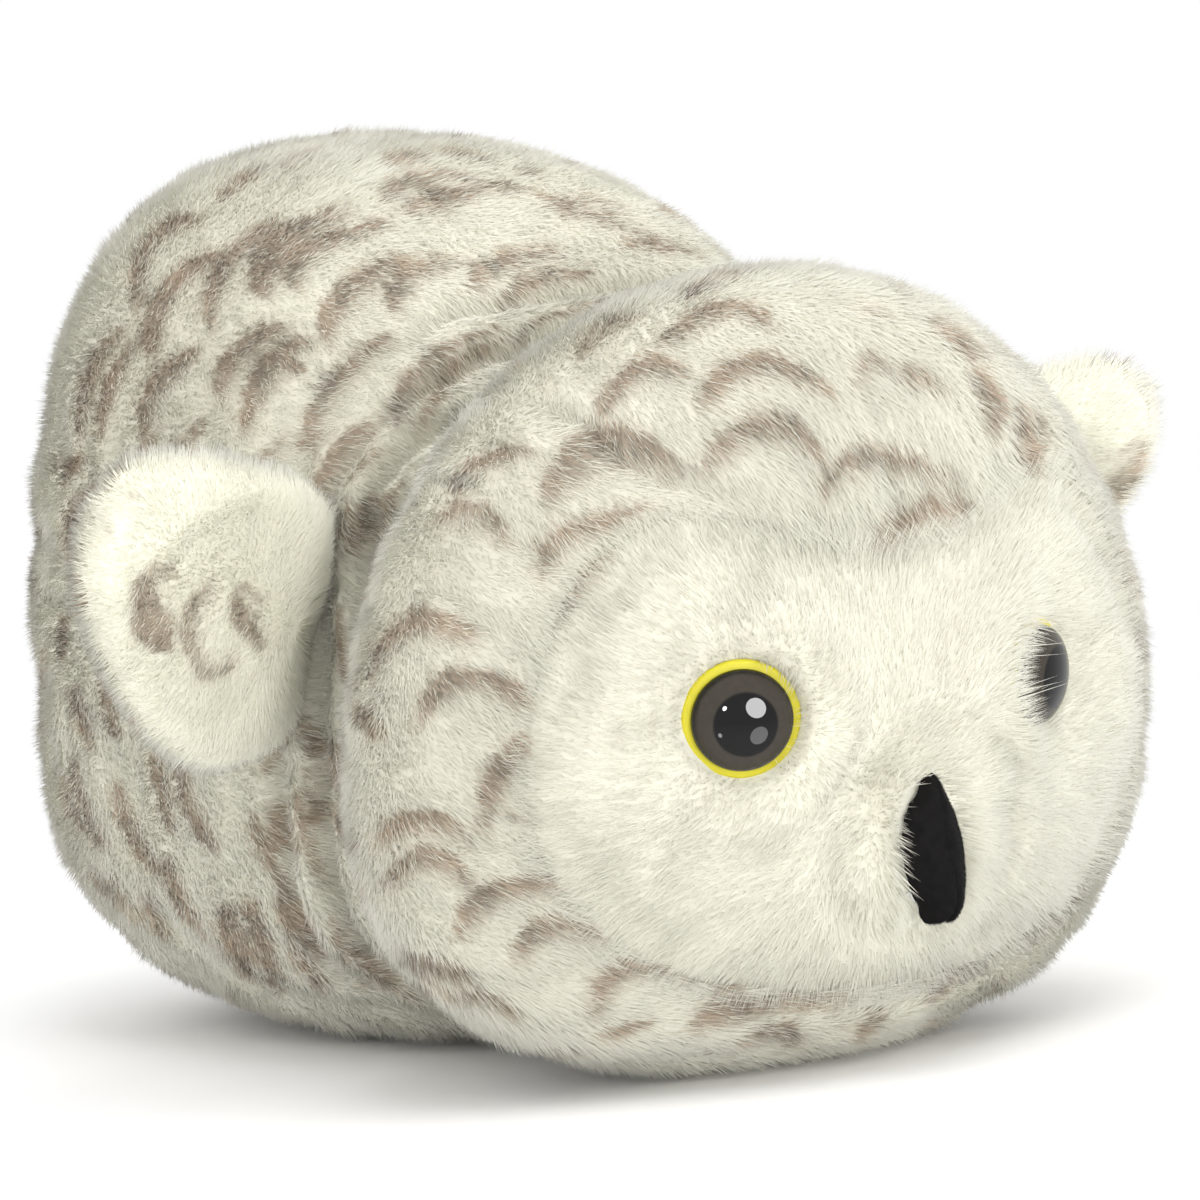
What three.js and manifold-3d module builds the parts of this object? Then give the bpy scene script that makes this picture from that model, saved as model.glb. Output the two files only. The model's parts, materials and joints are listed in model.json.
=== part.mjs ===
// Plush owl lying on its belly, in millimetres, +Z up, beak towards -Y, origin under its middle.
import * as THREE from "three";
import { mergeVertices } from "three/addons/utils/BufferGeometryUtils.js";
import Module from "manifold-3d";

const wasm = await Module();
wasm.setup();

// Fabric, seams and clearances
const skinThickness = 2.4;
const wingSkinThickness = 1.8;
const velvetThickness = 0.9;
const seamGap = 0.3;
const floorCut = 0.5;
const cutOverrun = 15;

// Rest: the toy leans forward until its chin and its belly both touch the floor
const restPitch = THREE.MathUtils.degToRad(8);

// Body lobe, measured from its widest place
const bodyHalfWidth = 75;
const bodyFront = 117;
const bodyBack = 73;
const bodyHeight = 185;
const bodyWidestShare = 0.462;
const neckOverlap = 37;
const bellySeamHeight = 20;

// Head lobe, measured from its widest place
const headHalfWidth = 90.5;
const headFront = 47.5;
const headBack = 56;
const headHeight = 160;
const headLift = 14.5;
const headWidestShare = 0.414;
const muzzleRise = 9;
const muzzleHeight = 62;
const muzzleReach = 27;

// Face panel, a wide oval seen from the front
const faceHalfWidth = 77;
const faceHalfHeight = 49;
const faceHeight = 87;

// Eyes: dome with shank, ring behind it, washer inside the face
const eyeDomeRadius = 10.2;
const eyeDomeRise = 5.6;
const eyeRingRadius = 11.9;
const eyeRingThickness = 1.4;
const eyeShankRadius = 2.4;
const eyeShankLength = 9;
const eyeWasherRadius = 8.5;
const eyeWasherThickness = 1.6;
const eyeHalfSpacing = 36;
const eyeHeight = 96.2;
const eyeSink = 4.4;
const eyeYaw = THREE.MathUtils.degToRad(27);
const eyeFlatReach = 13;
const eyeSocketReach = 26;

// Beak: two padded velvet panels that meet on a ridge
const beakHalfWidth = 8.6;
const beakRidge = 6.4;
const beakLength = 31;
const beakTop = 84;
const beakNotch = 2;
const beakRoot = 6;

// Wings, each hinged on its seam
const wingSpan = 74;
const wingHeight = 66;
const wingHalfThickness = 6.5;
const wingSeamInset = 2.6;
const wingSeamClearance = 0.5;
const wingSweep = THREE.MathUtils.degToRad(-19);

// Directions from a lobe's middle: around from +X towards +Y, and up from level
const wingSeamLowAround = THREE.MathUtils.degToRad(-27.7);
const wingSeamLowUp = THREE.MathUtils.degToRad(-0.9);
const wingSeamHighAround = THREE.MathUtils.degToRad(-35);
const wingSeamHighUp = THREE.MathUtils.degToRad(19.8);

// Facets
const outerFacets = { around: 44, up: 20 };
const innerFacets = { around: 28, up: 14 };
const wingOutlineFacets = 26;
const roundFacets = 24;

const spottedPlush = { color: 0xf1eee2, roughness: 0.95, metalness: 0 };
const creamPlush = { color: 0xf7f4e6, roughness: 0.95, metalness: 0 };
const velvet = { color: 0x141312, roughness: 0.9, metalness: 0 };
const fibre = { color: 0xffffff, roughness: 1, metalness: 0 };
const darkPlastic = { color: 0x1d1917, roughness: 0.08, metalness: 0 };
const yellowPlastic = { color: 0xe9e232, roughness: 0.3, metalness: 0 };
const washerPlastic = { color: 0xe8e8e4, roughness: 0.5, metalness: 0 };

// A lobe is a rounded solid of four quarter lengths; higher powers are boxier.
const headLobe = {
  centreY: -headBack,
  lift: headLift,
  halfWidth: headHalfWidth,
  front: headFront,
  back: headBack,
  height: headHeight,
  widestShare: headWidestShare,
  frontPower: 2.2,
  backPower: 2.25,
  uprightPower: 2.07,
  uprightFrontPower: 2.12,
  uprightLowPower: 2.4,
};
const bodyLobe = {
  centreY: bodyFront - neckOverlap,
  lift: 0,
  halfWidth: bodyHalfWidth,
  front: bodyFront,
  back: bodyBack,
  height: bodyHeight,
  widestShare: bodyWidestShare,
  frontPower: 2.95,
  backPower: 2.15,
  uprightPower: 2.75,
  uprightFrontPower: 1.77,
  uprightLowPower: 3.2,
};

const signedPower = (value, power) => Math.sign(value) * Math.abs(value) ** power;

// The point of a lobe in a direction, with the surface moved in by inset.
function lobePoint(lobe, around, up, inset = 0) {
  const across = Math.cos(around);
  const along = Math.sin(around);
  const plan = along < 0 ? lobe.frontPower : lobe.backPower;
  const ahead = Math.max(0, -along) ** 2;
  const high = THREE.MathUtils.lerp(lobe.uprightPower, lobe.uprightFrontPower, ahead);
  const upright = up < 0 ? lobe.uprightLowPower : high;
  const ring = Math.abs(Math.cos(up)) ** (2 / upright);
  const rise = signedPower(Math.sin(up), 2 / upright);
  const widest = lobe.height * lobe.widestShare;
  const reachY = (along < 0 ? lobe.front : lobe.back) - inset;
  const reachZ = (up < 0 ? widest : lobe.height - widest) - inset;
  return new THREE.Vector3(
    (lobe.halfWidth - inset) * ring * signedPower(across, 2 / plan),
    lobe.centreY + reachY * ring * signedPower(along, 2 / plan),
    lobe.lift + widest + reachZ * rise,
  );
}

const smooth = (low, high, value) => THREE.MathUtils.smoothstep(value, low, high);

// How far the muzzle swells forward at a place seen from the front.
function muzzle(x, z) {
  const reach = Math.hypot(x, z - muzzleHeight) / muzzleReach;
  return muzzleRise * Math.exp((-reach * reach) / 2);
}

// Moves a point of the head's front out over the muzzle and flattens it where an eye sits.
function shapeFace(point, inset = 0) {
  if (point.y > headLobe.centreY) return point;
  point.y -= muzzle(point.x, point.z);
  const beside = Math.abs(point.x) - eyeHalfSpacing;
  const reach = Math.hypot(beside, point.z - eyeHeight);
  const seat = eyeSeatY + beside * Math.tan(eyeYaw) + inset / Math.cos(eyeYaw);
  const share = 1 - smooth(eyeFlatReach, eyeSocketReach, reach);
  point.y += share * (seat - point.y);
  return point;
}

// Where the head's front stands at a place seen from the front.
function headFrontY(x, z) {
  const rise = z - headLobe.lift - headLobe.height * headLobe.widestShare;
  const share = rise < 0 ? headLobe.widestShare : 1 - headLobe.widestShare;
  const upright = rise < 0 ? headLobe.uprightLowPower : headLobe.uprightFrontPower;
  const level = Math.abs(rise) / (headLobe.height * share);
  const ring = (1 - level ** upright) ** (1 / upright);
  const beside = Math.abs(x) / (headLobe.halfWidth * ring);
  const plan = (1 - beside ** headLobe.frontPower) ** (1 / headLobe.frontPower);
  return headLobe.centreY - headLobe.front * ring * plan - muzzle(x, z);
}
const eyeSeatY = headFrontY(eyeHalfSpacing, eyeHeight) + eyeSink;

// A closed surface from a bottom point, level rings and a top point.
function ringSurface(bottom, rings, top) {
  const places = [bottom, ...rings.flat(), top];
  const count = rings[0].length;
  const faces = [];
  const at = (ring, step) => 1 + ring * count + (step % count);
  for (let step = 0; step < count; step += 1) {
    faces.push(0, at(0, step + 1), at(0, step));
    for (let ring = 0; ring < rings.length - 1; ring += 1) {
      const a = at(ring, step);
      const b = at(ring, step + 1);
      const c = at(ring + 1, step + 1);
      const d = at(ring + 1, step);
      faces.push(a, b, c, a, c, d);
    }
    faces.push(places.length - 1, at(rings.length - 1, step), at(rings.length - 1, step + 1));
  }
  const geometry = new THREE.BufferGeometry().setFromPoints(places);
  geometry.setIndex(faces);
  return geometry;
}

function lobeGeometry(lobe, facets, inset, shape = (point) => point) {
  const rings = [];
  const at = (around, up) => shape(lobePoint(lobe, around, up, inset), inset);
  for (let ring = 1; ring < facets.up; ring += 1) {
    const up = Math.PI * (ring / facets.up - 1 / 2);
    const row = [];
    for (let step = 0; step < facets.around; step += 1)
      row.push(at((2 * Math.PI * step) / facets.around, up));
    rings.push(row);
  }
  return ringSurface(at(0, -Math.PI / 2), rings, at(0, Math.PI / 2));
}

// Solids for joining and cutting
function solid(geometry) {
  const bare = geometry.clone();
  bare.deleteAttribute("normal");
  bare.deleteAttribute("uv");
  const merged = mergeVertices(bare);
  return new wasm.Manifold(
    new wasm.Mesh({
      numProp: 3,
      vertProperties: merged.attributes.position.array,
      triVerts: new Uint32Array(merged.index.array),
    }),
  );
}

function geometryOf(shape) {
  const data = shape.getMesh();
  const geometry = new THREE.BufferGeometry();
  geometry.setAttribute("position", new THREE.BufferAttribute(data.vertProperties, data.numProp));
  geometry.setIndex(new THREE.BufferAttribute(data.triVerts, 1));
  geometry.computeVertexNormals();
  return geometry;
}

function piece(name, shape, finish) {
  const geometry = shape.isBufferGeometry ? shape : geometryOf(shape);
  const mesh = new THREE.Mesh(geometry, new THREE.MeshStandardMaterial(finish));
  mesh.name = name;
  return mesh;
}

// A box between two corners, as a solid.
function block(low, high) {
  const size = new THREE.Vector3().subVectors(high, low);
  const centre = new THREE.Vector3().addVectors(high, low).multiplyScalar(1 / 2);
  return solid(new THREE.BoxGeometry(size.x, size.y, size.z).translate(...centre));
}

const reach = bodyHeight + bodyFront + bodyBack + headHalfWidth;
const sideBlock = (side) =>
  side > 0
    ? block(new THREE.Vector3(seamGap / 2, -reach, -reach), new THREE.Vector3(reach, reach, reach))
    : block(new THREE.Vector3(-reach, -reach, -reach), new THREE.Vector3(-seamGap / 2, reach, reach));

// The face panel's outline, as shares from its middle: from the brow down one cheek to the chin
const faceOutlineShares = [
  [0, 0.8], [0.15, 0.82], [0.4, 0.95], [0.6, 1], [0.77, 0.88], [0.9, 0.62], [0.985, 0.26],
  [1, -0.06], [0.96, -0.36], [0.85, -0.64], [0.63, -0.85], [0.36, -0.96], [0, -1],
];

// The face panel's outline, grown by a margin, as a bar along Y in front of the head's middle.
function faceBar(margin) {
  const far = faceOutlineShares.slice(1, -1).map(([across, rise]) => [-across, rise]);
  const points = [...faceOutlineShares, ...far.toReversed()].map(
    ([across, rise]) =>
      new THREE.Vector2((faceHalfWidth + margin) * across, (faceHalfHeight + margin) * rise),
  );
  const outline = new THREE.Shape();
  outline.setFromPoints(new THREE.SplineCurve([...points, points[0]]).getSpacedPoints(outerFacets.around));
  const depth = headFront + muzzleRise + cutOverrun;
  const bar = new THREE.ExtrudeGeometry(outline, { depth, bevelEnabled: false });
  return solid(bar.rotateX(Math.PI / 2).translate(0, headLobe.centreY, faceHeight));
}

// Eye profiles turn about the local Z axis, which points out of the face; 0 is the fabric's face.
function turned(profile) {
  const points = profile.map(([radius, height]) => new THREE.Vector2(radius, height));
  return new THREE.LatheGeometry(points, roundFacets).rotateX(Math.PI / 2);
}

const ringBack = seamGap;
const ringFront = ringBack + eyeRingThickness;
const domeBack = ringFront + seamGap;
const washerFront = -skinThickness - seamGap;
const washerBack = washerFront - eyeWasherThickness;
const shankHole = eyeShankRadius + seamGap;

function domeGeometry() {
  const cap = [];
  const steps = 7;
  for (let step = 0; step < steps; step += 1) {
    const turn = (step / steps) * (Math.PI / 2);
    cap.push([eyeDomeRadius * Math.cos(turn), domeBack + eyeDomeRise * Math.sin(turn)]);
  }
  const shankEnd = domeBack - eyeShankLength;
  const shank = [[0, shankEnd], [eyeShankRadius, shankEnd], [eyeShankRadius, domeBack]];
  return turned([...shank, ...cap, [0, domeBack + eyeDomeRise]]);
}

function ringGeometry() {
  const lip = eyeRingThickness / 3;
  return turned([
    [shankHole, ringBack],
    [eyeRingRadius - lip, ringBack],
    [eyeRingRadius, ringBack + lip],
    [eyeRingRadius, ringFront - lip],
    [eyeRingRadius - lip, ringFront],
    [shankHole, ringFront],
    [shankHole, ringBack],
  ]);
}

function washerGeometry() {
  return turned([
    [shankHole, washerBack],
    [eyeWasherRadius, washerBack],
    [eyeWasherRadius, washerFront],
    [shankHole, washerFront],
    [shankHole, washerBack],
  ]);
}

// The room that an eye needs in the fabric and the stuffing behind it.
function eyeRoom(side) {
  const margin = seamGap;
  const outside = domeBack + eyeDomeRise + cutOverrun;
  const roomEnd = domeBack - eyeShankLength - margin;
  const shape = turned([
    [0, roomEnd],
    [shankHole, roomEnd],
    [shankHole, washerBack - margin],
    [eyeWasherRadius + margin, washerBack - margin],
    [eyeWasherRadius + margin, washerFront + margin],
    [shankHole, washerFront + margin],
    [shankHole, 0],
    [eyeRingRadius + margin, 0],
    [eyeRingRadius + margin, outside],
    [0, outside],
  ]);
  return solid(shape.applyMatrix4(eyeFrame(side).matrix));
}

function eyeFrame(side) {
  const frame = new THREE.Group();
  frame.position.set(side * eyeHalfSpacing, eyeSeatY, eyeHeight);
  const outward = new THREE.Vector3(side * Math.sin(eyeYaw), -Math.cos(eyeYaw), 0);
  frame.quaternion.setFromUnitVectors(new THREE.Vector3(0, 0, 1), outward);
  frame.updateMatrix();
  return frame;
}

function eye(side, name) {
  const frame = eyeFrame(side);
  frame.add(
    piece(name + "_eye_dome", domeGeometry(), darkPlastic),
    piece(name + "_eye_ring", ringGeometry(), yellowPlastic),
    piece(name + "_eye_washer", washerGeometry(), washerPlastic),
  );
  return frame;
}

// The beak runs down from its top and its two halves meet on the ridge; inset moves its skin in.
function beakGeometry(inset) {
  const rowShares = [0.03, 0.12, 0.28, 0.48, 0.68, 0.84, 0.95];
  const widthShares = [0.3, 0.52, 0.78, 0.95, 1, 0.9, 0.62];
  const acrossShares = [-1, -0.75, -0.45, -0.2, 0, 0.2, 0.45, 0.75, 1];
  const crownPower = 1.6;
  const back = headFrontY(0, beakTop - beakLength / 2) + beakRoot;
  const rowAt = (rowShare, widthShare) => {
    const halfWidth = Math.max(beakHalfWidth * widthShare - inset, inset / 4);
    const skin = acrossShares.map((share) => {
      const length = beakLength - beakNotch * (1 - Math.abs(share)) - inset;
      const z = beakTop - inset - (length - inset) * rowShare;
      const crown = beakRidge * Math.sqrt(widthShare) * (1 - Math.abs(share) ** crownPower);
      return new THREE.Vector3(halfWidth * share, headFrontY(0, z) - crown + inset, z);
    });
    const wall = [skin.at(-1), skin[0]].map((end) => new THREE.Vector3(end.x, back, end.z));
    return [...skin, ...wall];
  };
  const rows = rowShares.map((share, row) => rowAt(share, widthShares[row]));
  const endPoint = (z) => new THREE.Vector3(0, (headFrontY(0, z) + back) / 2, z);
  const top = endPoint(beakTop - inset);
  const bottom = endPoint(beakTop - beakLength + beakNotch + inset);
  return ringSurface(bottom, rows.toReversed(), top);
}

// Wing outline from its hinge: shares of the span outwards and of the height upwards.
const wingOutlineShares = [
  [0, 0.333], [0, 0.18], [0, 0], [0, -0.17], [0, -0.35], [0.095, -0.41], [0.238, -0.415],
  [0.4, -0.38], [0.575, -0.3], [0.74, -0.175], [0.87, -0.01], [0.97, 0.19], [1, 0.38],
  [0.975, 0.5], [0.88, 0.57], [0.7, 0.575], [0.453, 0.52], [0.224, 0.44], [0.11, 0.39],
];
const wingCentreShares = [0.5, 0.09];

function wingGeometry(inset) {
  const centre = new THREE.Vector3(wingSpan * wingCentreShares[0], wingHeight * wingCentreShares[1]);
  const knots = wingOutlineShares.map(
    ([out, rise]) => new THREE.Vector3(wingSpan * out - wingSeamInset, wingHeight * rise, 0),
  );
  const outline = new THREE.CatmullRomCurve3(knots, true, "centripetal").getSpacedPoints(wingOutlineFacets);
  outline.pop();
  const depthShares = [0, 0.42, 0.72, 0.9, 1, 0.9, 0.72, 0.42, 0];
  const edgeRow = 3;
  const edgePower = 2.4;
  const rings = depthShares.slice(1, -1).map((reachShare, row) => {
    const side = Math.sign(row - edgeRow);
    const rise = Math.sqrt(1 - reachShare ** edgePower) * (wingHalfThickness - inset);
    return outline.map((point) => {
      const arm = new THREE.Vector3().subVectors(point, centre);
      const length = arm.length() - inset;
      return arm.setLength(length * reachShare).add(centre).setZ(side * rise);
    });
  });
  const tipAt = (side) => centre.clone().setZ(side * (wingHalfThickness - inset));
  return ringSurface(tipAt(-1), rings, tipAt(1));
}

// The wing's frame: X out from the hinge, Y up along it, Z the wing's broad face.
function wingFrame(side) {
  const seamPoint = (share) => {
    const around = THREE.MathUtils.lerp(wingSeamLowAround, wingSeamHighAround, share);
    const up = THREE.MathUtils.lerp(wingSeamLowUp, wingSeamHighUp, share);
    const point = lobePoint(bodyLobe, around, up);
    return point.setX(side * point.x);
  };
  const low = seamPoint(0);
  const high = seamPoint(1);
  const up = new THREE.Vector3().subVectors(high, low).normalize();
  const out = new THREE.Vector3(side * Math.cos(wingSweep), Math.sin(wingSweep), 0);
  out.addScaledVector(up, -out.dot(up)).normalize();
  const seamSteps = 12;
  let bulge = 0;
  for (let step = 1; step < seamSteps; step += 1) {
    const rise = seamPoint(step / seamSteps).sub(low);
    bulge = Math.max(bulge, rise.dot(out));
  }
  const frame = new THREE.Group();
  frame.position.addVectors(low, high).multiplyScalar(1 / 2);
  frame.position.addScaledVector(out, bulge + wingSeamInset + wingSeamClearance);
  frame.quaternion.setFromRotationMatrix(
    new THREE.Matrix4().makeBasis(out, up, new THREE.Vector3().crossVectors(out, up)),
  );
  return frame;
}

function wing(side, name) {
  const outer = solid(wingGeometry(0));
  const skin = outer.subtract(solid(wingGeometry(wingSkinThickness)));
  const thick = new THREE.Vector3(wingSpan, wingHeight, wingHalfThickness).multiplyScalar(2);
  const half = (facing) => {
    const corner = new THREE.Vector3(thick.x, thick.y, facing * thick.z);
    const opposite = new THREE.Vector3(-thick.x, -thick.y, (facing * seamGap) / 2);
    return block(opposite.clone().min(corner), opposite.clone().max(corner));
  };
  const frontFacing = side;
  const frame = wingFrame(side);
  frame.add(
    piece(name + "_wing_front_panel", skin.intersect(half(frontFacing)), creamPlush),
    piece(name + "_wing_back_panel", skin.intersect(half(-frontFacing)), spottedPlush),
    piece(name + "_wing_stuffing", solid(wingGeometry(wingSkinThickness + seamGap)), fibre),
  );
  return frame;
}

// Head and body: outer forms, the room inside their skins, and the stuffing in that room
const headOuter = solid(lobeGeometry(headLobe, outerFacets, 0, shapeFace));
const headOuterClear = solid(lobeGeometry(headLobe, outerFacets, -seamGap, shapeFace));
const headRoom = solid(lobeGeometry(headLobe, outerFacets, skinThickness, shapeFace));
const headFill = solid(lobeGeometry(headLobe, outerFacets, skinThickness + seamGap, shapeFace));
const bodyOuter = solid(lobeGeometry(bodyLobe, outerFacets, 0));
const bodyRoom = solid(lobeGeometry(bodyLobe, innerFacets, skinThickness));
const bodyFill = solid(lobeGeometry(bodyLobe, innerFacets, skinThickness + seamGap));

const eyeRooms = eyeRoom(1).add(eyeRoom(-1));

// The floor leans in the toy's own frame, and trims the toy where it rests.
const restTurn = THREE.MathUtils.radToDeg(restPitch);
const floorLevel = bodyOuter.rotate([restTurn, 0, 0]).boundingBox().min[2] + floorCut;
const belowFloor = block(
  new THREE.Vector3(-reach, -reach, -reach),
  new THREE.Vector3(reach, reach, floorLevel),
);
const floor = belowFloor.rotate([-restTurn, 0, 0]);

const headSkin = headOuter.subtract(headRoom).subtract(bodyOuter).subtract(floor);
const bodySkin = bodyOuter.subtract(bodyRoom).subtract(headOuterClear).subtract(floor);
const hoodSkin = headSkin.subtract(faceBar(seamGap));
const facePanel = headSkin.intersect(faceBar(0)).subtract(eyeRooms);

const corner = new THREE.Vector3(reach, reach, reach);
const belowSeam = block(corner.clone().negate(), corner.clone().setZ(bellySeamHeight - seamGap / 2));
const aboveSeam = block(corner.clone().negate().setZ(bellySeamHeight + seamGap / 2), corner);

const beakOuter = solid(beakGeometry(0)).subtract(headOuterClear);
const beakSkin = beakOuter.subtract(solid(beakGeometry(velvetThickness)));
const beakFill = solid(beakGeometry(velvetThickness + seamGap)).subtract(headOuterClear);

const toy = new THREE.Group();
toy.add(
  piece("face_panel", facePanel, creamPlush),
  piece("left_hood_panel", hoodSkin.intersect(sideBlock(1)), spottedPlush),
  piece("right_hood_panel", hoodSkin.intersect(sideBlock(-1)), spottedPlush),
  piece("left_body_panel", bodySkin.intersect(aboveSeam).intersect(sideBlock(1)), spottedPlush),
  piece("right_body_panel", bodySkin.intersect(aboveSeam).intersect(sideBlock(-1)), spottedPlush),
  piece("belly_panel", bodySkin.intersect(belowSeam), creamPlush),
  piece("head_stuffing", headFill.subtract(bodyRoom).subtract(eyeRooms), fibre),
  piece("body_stuffing", bodyFill, fibre),
  piece("left_beak_panel", beakSkin.intersect(sideBlock(1)), velvet),
  piece("right_beak_panel", beakSkin.intersect(sideBlock(-1)), velvet),
  piece("beak_stuffing", beakFill, fibre),
  eye(1, "left"),
  eye(-1, "right"),
  wing(1, "left"),
  wing(-1, "right"),
);

toy.rotation.x = restPitch;

// The origin lies on the floor, under the middle of the toy's length.
const extent = new THREE.Box3().setFromObject(toy, true);
toy.position.set(0, -(extent.min.y + extent.max.y) / 2, -floorLevel);

const owl = new THREE.Group();
owl.add(toy);

export default owl;
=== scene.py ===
"""Dresses the jointed plush owl: its furry covers, fill, eyes, beak and stage, in metres."""

import json
import math

import bmesh
import bpy
import numpy as np
from bpy.props import FloatProperty, FloatVectorProperty, IntProperty, PointerProperty
from bpy.types import Operator, Panel, PropertyGroup
from mathutils import Matrix, Vector
from mathutils.bvhtree import BVHTree
from mathutils.kdtree import KDTree


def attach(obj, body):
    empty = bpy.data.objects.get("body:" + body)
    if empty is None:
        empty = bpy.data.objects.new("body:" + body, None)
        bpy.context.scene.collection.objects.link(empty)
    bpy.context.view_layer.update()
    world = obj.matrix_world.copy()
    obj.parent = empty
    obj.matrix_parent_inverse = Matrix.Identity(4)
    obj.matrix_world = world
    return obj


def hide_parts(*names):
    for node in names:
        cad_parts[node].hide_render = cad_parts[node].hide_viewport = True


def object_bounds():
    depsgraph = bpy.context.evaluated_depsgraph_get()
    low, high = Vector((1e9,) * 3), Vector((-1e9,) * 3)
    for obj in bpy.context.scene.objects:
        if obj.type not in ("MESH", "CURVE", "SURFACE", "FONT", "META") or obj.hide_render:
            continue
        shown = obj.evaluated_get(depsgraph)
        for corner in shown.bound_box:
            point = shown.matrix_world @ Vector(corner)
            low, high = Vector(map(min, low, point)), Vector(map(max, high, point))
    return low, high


bl_info = {
    "name": "Plush Owl",
    "version": (1, 0, 0),
    "blender": (4, 5, 0),
    "location": "3D View > Sidebar > Plush Owl",
    "description": "Makes the covers, pile, eyes, beak and stage of a jointed plush owl",
    "category": "Object",
}

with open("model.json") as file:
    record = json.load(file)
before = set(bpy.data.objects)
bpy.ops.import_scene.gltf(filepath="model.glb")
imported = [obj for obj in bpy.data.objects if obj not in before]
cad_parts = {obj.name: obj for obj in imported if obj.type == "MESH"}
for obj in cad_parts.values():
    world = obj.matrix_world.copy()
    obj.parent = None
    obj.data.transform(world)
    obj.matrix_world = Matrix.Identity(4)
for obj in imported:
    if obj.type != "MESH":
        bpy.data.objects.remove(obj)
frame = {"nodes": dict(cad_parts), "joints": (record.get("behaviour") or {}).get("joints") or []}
CAD_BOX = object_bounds()
MM = 0.001
SIDES = {"left": 1, "right": -1}
HEAD_NODES = ("face_panel", "left_hood_panel", "right_hood_panel")
BODY_NODES = ("left_body_panel", "right_body_panel", "belly_panel")
FILLS = ("head_stuffing", "body_stuffing")

# Points closer than this are one point
MERGE = MM / 100

# Height over the backing at which most of the pile shows
PILE_HEIGHT = 2.4 * MM

# The toy leans forward on its chin by this angle, about X
LEAN = math.radians(8)
UPRIGHT = np.array(Matrix.Rotation(-LEAN, 3, "X"))
FORWARD = UPRIGHT.T @ np.array([0.0, -1.0, 0.0])

# How far behind the face the middle of its flat pattern lies
PATTERN_DEPTH = 80 * MM

# The photograph's frame, in which the marks of the plush were traced
PHOTO_SIZE = 1200

# Each mark: its two ends and middle as x, y pixels (end, middle, end), its width, and its strength
HEAD_MARKS = (
    (668, 330, 722, 299, 768, 315, 12), (578, 346, 600, 322, 634, 305, 12, 0.7),
    (598, 410, 638, 361, 685, 367, 14), (703, 396, 760, 359, 830, 385, 15),
    (860, 385, 872, 358, 890, 362, 12, 0.8), (896, 370, 918, 374, 946, 385, 12, 0.8),
    (855, 300, 870, 306, 908, 312, 8, 0.5), (548, 492, 600, 442, 668, 462, 30, 0.8),
    (537, 572, 570, 530, 655, 504, 13), (570, 627, 592, 582, 642, 553, 14),
    (708, 466, 768, 421, 828, 455, 17), (829, 492, 870, 456, 955, 478, 14),
    (880, 545, 935, 509, 985, 515, 15), (745, 531, 770, 527, 798, 525, 8, 0.35),
    (450, 492, 468, 460, 525, 445, 11, 0.8), (428, 516, 468, 505, 505, 536, 15, 0.8),
    (362, 668, 405, 620, 465, 630, 16), (410, 722, 462, 677, 532, 705, 17),
    (345, 714, 358, 722, 375, 734, 14, 0.8), (478, 830, 500, 775, 530, 742, 20),
    (533, 795, 540, 818, 552, 846, 8), (500, 812, 515, 820, 545, 828, 10, 0.6),
    (370, 844, 412, 820, 465, 838, 15), (378, 890, 425, 857, 470, 886, 15),
    (455, 938, 488, 898, 555, 886, 15), (515, 964, 548, 930, 600, 936, 14),
    (596, 1018, 628, 973, 692, 976, 13), (700, 1030, 750, 1010, 850, 1000, 18),
    (712, 1003, 725, 988, 750, 1000, 12), (400, 968, 440, 975, 475, 990, 10),
    (460, 1005, 490, 1008, 516, 1022, 9), (598, 1042, 625, 1035, 655, 1030, 8),
    (745, 1048, 772, 1037, 800, 1046, 12), (830, 1020, 842, 1029, 865, 1028, 6, 0.6),
    (862, 1042, 875, 1030, 888, 1018, 12, 0.8), (937, 1000, 965, 975, 1000, 950, 15, 0.8),
    (1032, 938, 1052, 918, 1078, 902, 18, 0.7), (1135, 640, 1142, 650, 1155, 662, 9, 0.7),
    (1127, 715, 1140, 712, 1156, 712, 16, 0.6), (1122, 552, 1125, 572, 1140, 592, 8, 0.8),
    (985, 375, 1000, 395, 1000, 425, 15), (1022, 407, 1032, 432, 1040, 475, 12, 0.9),
    (1030, 410, 1045, 420, 1056, 436, 8, 0.7), (940, 320, 958, 333, 988, 350, 14, 0.8),
    (1070, 430, 1085, 452, 1100, 482, 10, 0.5), (895, 285, 912, 291, 930, 299, 4, 0.6),
    (1000, 345, 1015, 355, 1030, 366, 5, 0.5), (685, 290, 712, 276, 755, 262, 6),
)
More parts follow.
